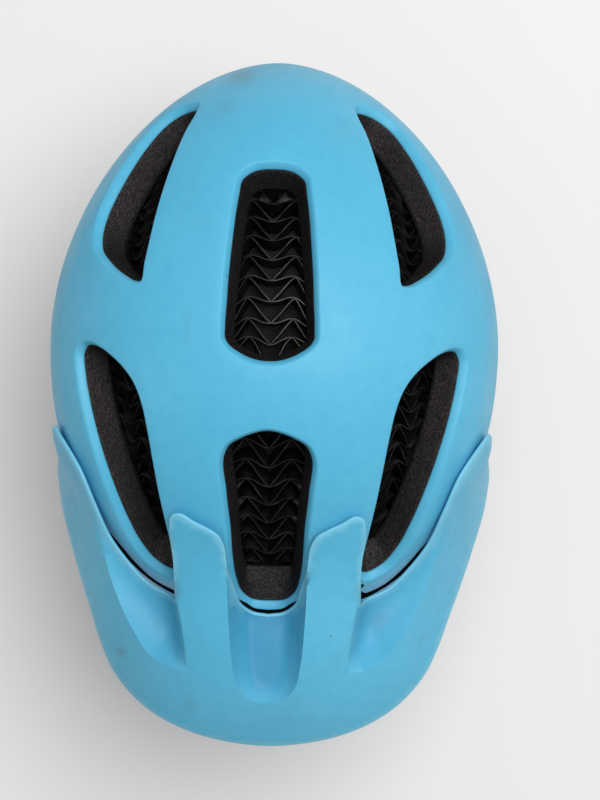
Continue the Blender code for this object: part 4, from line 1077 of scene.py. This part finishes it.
def visor_brim():
    """The visor: scooped, ribbed and rounded along its whole edge, which is rubbed paler and partly
    painted as a highlight, with painted shade in its hollows.
    """
    piece = Piece()
    outline = visor_outline()
    ahead = np.roll(outline, -1, axis=0) - np.roll(outline, 1, axis=0)
    inward = leftwards(ahead)
    inner = outline + inward * VISOR_ROUND
    crest = open_curve(RIB_EDGE, 40)
    beside = (0.0, RIB_WALL, RIB_WALL / 2, CREST_SIDE, -CREST_SIDE)
    channel = open_curve(CHANNEL_CREASE, 60)
    guides = []
    for line in (open_curve(SCOOP_CREASE, 60), *(crest + (x, 0.0) for x in beside),
                 channel[channel[:, 0] > 0.5]):
        guide = line[inside(line, inner) & (distance(line, rejoined(inner)) > 1.5)]
        guides += [guide, guide * (-1.0, 1.0)]
    flat, triangles, loops = triangulate([inner], VISOR_GRID, guides)
    triangles = triangles[inside(flat[triangles].mean(axis=1), inner)]
    near = distance(flat, rejoined(outline))
    # Paler band along the rounded edge: rubbed wear, partly a painted highlight.
    wear_and_highlight = np.exp(-((near - VISOR_ROUND) / 0.8)**2)
    top_points = visor_place(flat, 0.0)
    scoop, channel = visor_hollows(np.abs(flat[:, 0]), flat[:, 1])
    floor = channel / channel_depth(flat[:, 1])
    # Painted shade, strongest on the channel's floor and deep in the scoops.
    hollow = SCOOP_PAINTED_SHADE * scoop / SIDE_SCOOP_DEPTH + CHANNEL_PAINTED_SHADE * floor**4
    marks = marks_and_shade(top_points, VISOR_SMUDGES_AND_SHADE)
    top = piece.add(top_points, edge=wear_and_highlight, smudge=marks, hollow=hollow)
    under = piece.add(visor_place(flat, VISOR_THICK))
    piece.cover(top, triangles)
    piece.cover(under, triangles)
    rings = [top[loops[0]]]
    # The rounded rim carries the same paler band, partly a painted highlight.
    for out, depth in ((0.35, 0.12), (0.6, 0.4), (0.7, 0.85), (0.7, 1.3), (0.45, 1.8)):
        ring = visor_place(inner - inward * out, depth)
        rings.append(piece.add(ring, edge=1.0 if depth < 1.0 else 0.3))
    rings.append(under[loops[0]])
    piece.bridge(*rings)
    return piece


# ---- pads

PAD_PRESSURE = 4.0
PAD_CAP = 3.0
PAD_VOXEL = 2.6
PAD_INWARD = 0.5
CLOTH_FRAMES = 20


def pad(node, body, material, pressure):
    """A soft pad swollen from its CAD node by cloth simulation, in its own object."""
    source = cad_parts[node]
    mesh = source.data.copy()
    mesh.transform(source.matrix_world)
    made = placed(node + "_cushion", mesh)
    mesh.materials.clear()
    mesh.materials.append(material)
    shrink_and_remesh(made)
    swell_by_cloth(made, pressure)
    finish_modifier(made, "SUBSURF", levels=1, render_levels=1)
    made.data.shade_smooth()
    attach(made, body)
    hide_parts(node)


def shrink_and_remesh(made):
    """Even small quads, drawn in a little so that swelling brings the pad back to its size."""
    finish_modifier(made, "REMESH", mode="VOXEL", voxel_size=PAD_VOXEL * MM)
    normals = np.array([vertex.normal[:] for vertex in made.data.vertices])
    move_vertices(made.data, vertex_places(made.data) - normals * PAD_INWARD * MM)


def vertex_places(mesh):
    return np.array([vertex.co[:] for vertex in mesh.vertices])


def move_vertices(mesh, places):
    mesh.vertices.foreach_set("co", places.ravel())
    mesh.update()


def apply_modifiers(made):
    """Replace the object's mesh with the one its modifiers give."""
    graph = bpy.context.evaluated_depsgraph_get()
    graph.update()
    evaluated = bpy.data.meshes.new_from_object(made.evaluated_get(graph))
    made.modifiers.clear()
    made.data = evaluated


def finish_modifier(made, kind, **settings):
    """Add a modifier and apply it."""
    modifier = made.modifiers.new(kind.lower(), kind)
    for key, value in settings.items():
        setattr(modifier, key, value)
    apply_modifiers(made)


def swell_by_cloth(made, pressure):
    """Inflate a pad as cloth and cap how far any point moves."""
    rest = vertex_places(made.data)
    cloth = made.modifiers.new("cloth", "CLOTH")
    cloth.settings.use_pressure = True
    cloth.settings.uniform_pressure_force = pressure
    cloth.settings.quality = 5
    cloth.settings.mass = 0.2
    cloth.settings.tension_stiffness = 12.0
    cloth.settings.compression_stiffness = 12.0
    cloth.settings.bending_stiffness = 0.4
    cloth.settings.effector_weights.gravity = 0.0
    cloth.point_cache.frame_start = 1
    cloth.point_cache.frame_end = CLOTH_FRAMES
    for number in range(1, CLOTH_FRAMES + 1):
        bpy.context.scene.frame_set(number)
    apply_modifiers(made)
    bpy.context.scene.frame_set(1)
    step = vertex_places(made.data) - rest
    far = np.linalg.norm(step, axis=1, keepdims=True)
    move_vertices(made.data, rest + step * np.minimum(1.0, PAD_CAP * MM / np.maximum(far, 1e-9)))


# ---- straps

def completed(half):
    """A section completed by a half turn of its first half."""
    return half + [(-x, -y) for x, y in half]


def web_section():
    """Section of the webbing, with softly rounded selvedges."""
    half, thick = WEB_WIDTH / 2, WEB_THICK / 2
    top = [(x, thick) for x in np.linspace(-half + 0.5, half - 0.5, 7)]
    return completed(top + [(half - 0.12, thick * 0.72), (half, 0.0), (half - 0.12, -thick * 0.72)])


def rim_frame(angle, depth, drop):
    """Frame under the rim: x along the rim, y inwards along the lip, z up into the foam."""
    turns = np.radians([angle - 1.0, angle, angle + 1.0])
    before, direction, after = np.stack([np.cos(turns), np.sin(turns)], axis=1)
    lip = frame_at(skin(direction, depth), dome(after) - dome(before), -normal(direction))
    return lip @ Matrix.Translation((0.0, 0.0, -drop))


def frame_at(position, x_axis, y_axis):
    """A matrix with the given axes at a position; its z axis is x cross y."""
    x = Vector(x_axis).normalized()
    z = x.cross(Vector(y_axis)).normalized()
    y = z.cross(x)
    rotation = Matrix((x, y, z)).transposed().to_4x4()
    return Matrix.Translation(Vector(position)) @ rotation


# Anchors: angle round the rim and depth. Facets: ends of a divider's edge, as y and z from its centre.
FRONT_ANCHOR = (-30.0, 15.5)
REAR_ANCHOR = (50.0, 15.5)
FRONT_FACET = ((-3.0, 13.5), (-17.6, 4.8))
REAR_FACET = ((14.2, 0.8), (3.0, 13.5))


def side_strap(anchor, facet, middle, sign):
    """Webbing from inside an anchor's slot down to one upper facet of the divider."""
    place = rim_frame(*anchor, GAP + 3.0)
    top, below = place @ Vector((0.0, 0.0, 1.2)), place @ Vector((0.0, 0.0, -9.0))
    start, end = Vector(facet[0]), Vector(facet[1])
    edge = end - start
    away = Vector((edge.y, -edge.x)).normalized()
    foot = [DIVIDER + Vector((0.0, *(start.lerp(end, 0.5) + away * reach))) for reach in (12.0, 0.5)]
    path = open_curve([top, below, middle, *foot], 70)
    f = np.linspace(0.0, 1.0, len(path))[:, None]
    outward = -np.array(place.to_3x3().col[1]) * (1.0 - f) + np.array((1.0, 0.0, 0.0)) * f
    across = np.cross(outward, np.gradient(path, axis=0))
    mirror = np.array([sign, 1.0, 1.0])
    return sweep(path * mirror, across * mirror, web_section())


CHIN_PATH = [(71.0, -6.6, -59.0), (71.0, -6.6, -62.0), (69.2, -8.9, -69.0), (66.6, -11.3, -79.5),
             (64.0, -13.7, -90.0), (53.0, -21.5, -105.0), (39.0, -27.0, -114.0)]
CHIN_ENDS = {1: [(31.0, -28.0, -118.4), (26.0, -28.0, -119.8)],
             -1: [(31.0, -28.0, -115.4), (26.0, -28.0, -115.4)]}


def chin_strap(sign):
    """Webbing from the divider down under the jaw to the buckle."""
    path = np.array(CHIN_PATH + CHIN_ENDS[sign]) * (sign, 1.0, 1.0)
    return sweep(open_curve(path, 90), (0, 1, 0), web_section())


def strap_tail():
    """Spare webbing that doubles back from the buckle, under the chin strap."""
    path = [(x + 1.9, y - 0.2, z - 1.6) for x, y, z in CHIN_PATH[3:]]
    path += [(31.5, -28.0, -120.6), (26.3, -28.0, -122.0)]
    return sweep(open_curve(path, 70), (0, 1, 0), web_section())


def around_head(angle, height, inward):
    """Point on the band's ring: the angle runs from 0 at the front to 180 degrees at the rear."""
    turn = np.radians(angle)
    reach = np.where(np.cos(turn) > 0.0, BAND_FRONT, BAND_REAR)
    x, y = BAND_SIDE * np.sin(turn), -reach * np.cos(turn)
    nx, ny = np.sin(turn) / BAND_SIDE, -np.cos(turn) / reach
    size = np.hypot(nx, ny)
    level = BAND_LEVEL - BAND_TILT * y
    return np.stack([x - inward * nx / size, y - inward * ny / size, level + height], axis=-1)


def lace(sign):
    """Fit lace from the dial housing round the outside of the cradle."""
    angles = np.array([166.0, 158.0, 148.0, 136.0, 128.0, 120.0])
    heights = np.array([-17.0, -17.5, -14.0, -7.0, -3.0, -1.0])
    inward = ARM_INSET - CRADLE_THICK / 2 - LACE_RADIUS - GAP
    path = around_head(angles, heights, inward - 0.2) * (sign, 1.0, 1.0)
    section = [(LACE_RADIUS * math.cos(a), LACE_RADIUS * math.sin(a))
               for a in np.linspace(0.0, 2 * math.pi, 12, endpoint=False)]
    return sweep(open_curve(path, 70), (0, 0, 1), section)


def hanger_strip():
    """Flexible strip from the height clip down to the top of the cradle."""
    path = [(0, 105.4, 38.6), (0, 104.4, 33.0), (0, 98.5, 27.5), (0, 91.4, 23.0), (0, 89.3, 17.0),
            (0, 89.3, 10.0)]
    section = completed([(-4.6, -0.5), (-4.3, -0.8), (4.3, -0.8), (4.6, -0.5)])
    return sweep(open_curve(path, 44), (1, 0, 0), section)


# ---- camera, light and floor

# In metres and radians.
SENSOR = 36.0
LENS = 82.3
CAMERA = Vector((0.023, -0.0264, 0.962))
CAMERA_AIM = Vector((0.0128, -0.0264, 0.062))
CAMERA_ROLL = 0.0190
FLOOR_Z = -0.1245


def add_camera():
    """Camera straight above the helmet."""
    data = bpy.data.cameras.new("camera")
    data.sensor_width = SENSOR
    data.lens = LENS
    data.clip_end = 20.0
    camera = placed("camera", data)
    camera.location = CAMERA
    upwards = Vector((-math.sin(CAMERA_ROLL), math.cos(CAMERA_ROLL), 0.0))
    back = (CAMERA - CAMERA_AIM).normalized()
    right = upwards.cross(back).normalized()
    camera.rotation_euler = Matrix((right, back.cross(right), back)).transposed().to_euler()
    bpy.context.scene.camera = camera


def add_lamp():
    """One wide, soft light from above."""
    data = bpy.data.lights.new("overhead", "AREA")
    data.shape = "DISK"
    data.size = LAMP_WIDTH
    data.energy = LAMP_POWER
    lamp = placed("overhead", data)
    lamp.location = LAMP
    lamp.rotation_euler = (LAMP - LAMP_AIM).to_track_quat("Z", "Y").to_euler()


def add_stage():
    """Pale floor under the straps and a pale surround."""
    mesh = bpy.data.meshes.new("floor")
    size = 3.0
    mesh.from_pydata([(-size, -size, FLOOR_Z), (size, -size, FLOOR_Z), (size, size, FLOOR_Z),
                      (-size, size, FLOOR_Z)], [], [(0, 1, 2, 3)])
    mesh.materials.append(plain_floor("floor"))
    floor = placed("floor", mesh)
    world = bpy.data.worlds.new("surround")
    bpy.context.scene.world = world
    world.use_nodes = True
    background = world.node_tree.nodes["Background"]
    background.inputs["Color"].default_value = (1.0, 1.0, 1.0, 1.0)
    background.inputs["Strength"].default_value = WORLD_LIGHT
    bpy.context.scene.view_settings.view_transform = "Standard"


# ---- assembly

def repaint(names, material, bevel):
    """Give CAD nodes a material and softly rounded edges."""
    for name in names:
        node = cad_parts[name]
        for slot in node.material_slots:
            slot.material = material
        rounding = node.modifiers.new("edges", "BEVEL")
        rounding.width = bevel * MM
        rounding.segments = 3
        rounding.limit_method = "ANGLE"
        rounding.angle_limit = math.radians(38.0)
        rounding.harden_normals = False


def sided(*names):
    return [f"{name}_{side}" for name in names for side in ("left", "right")]


def main():
    add_camera()
    add_stage()
    add_lamp()
    blue = painted_shell("painted_shell")
    foam = bead_foam("bead_foam")
    cells = cell_plastic("cell_plastic")
    black = moulded("moulded_black")
    satin = moulded("satin_black", (0.014, 0.014, 0.015), 0.34, 2200.0)
    fabric = knit("pad_knit")
    web = webbing("webbing")

    cap = fine_cap()
    shell_skin(cap).build("shell_skin", blue, "helmet", ["outer_shell"])
    rim_shell(cap).build("rim_shell", satin, "helmet", ["lower_shell"])
    foam_body(cap).build("foam_body", foam, "helmet", ["foam_liner"])
    cell_walls().build("cell_walls", cells, "helmet", ["cell_liner"])
    visor_brim().build("visor_brim", blue, "visor", ["visor"], 60.0)

    pads = [("crown_pad", "helmet"), ("brow_pad", "helmet"), ("chin_pad", "buckle_tongue")]
    pads += [(name, "helmet") for name in sided("side_pad", "rear_pad")]
    pads += [(name, "cradle") for name in sided("cradle_pad")]
    for name, body in pads:
        pad(name, body, fabric, PAD_PRESSURE)

    for side, sign in (("left", 1), ("right", -1)):
        front = side_strap(FRONT_ANCHOR, FRONT_FACET, (77.5, -32.0, -2.0), sign)
        front.build(f"front_web_{side}", web, "helmet", [f"strap_front_{side}"])
        rear = side_strap(REAR_ANCHOR, REAR_FACET, (68.0, 42.0, -11.0), sign)
        rear.build(f"rear_web_{side}", web, "helmet", [f"strap_rear_{side}"])
        lace(sign).build(f"fit_lace_{side}", lace_cord(f"fit_lace_{side}"), "cradle", [f"lace_{side}"])
    chin_strap(1).build("chin_web_left", web, "helmet", ["chin_strap_left"])
    loose = chin_strap(-1).build("chin_web_right", web, None, ["chin_strap_right"])
    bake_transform(loose)
    strap_tail().build("tail_web", web, "helmet", ["strap_tail"])
    strip = hanger_strip().build("hanger_strip", satin, None, ["height_hanger"])
    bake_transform(strip)

    repaint(["front_band", "rear_cradle", "hanger_socket", "dial_housing"], black, 0.35)
    repaint(["height_clip", "dial_knob", "dial_spool", "buckle_socket", "buckle_tongue"], satin, 0.3)
    repaint(sided("divider", "divider_lever"), satin, 0.35)
    repaint(sided("strap_anchor_front", "strap_anchor_rear", "visor_post", "visor_clip"), black, 0.25)
    repaint(["strap_keeper"], rubber("keeper_rubber"), 0.3)
    repaint(["dial_screw", "socket_magnet", "tongue_magnet"], bare_steel("plated_steel"), 0.15)


main()
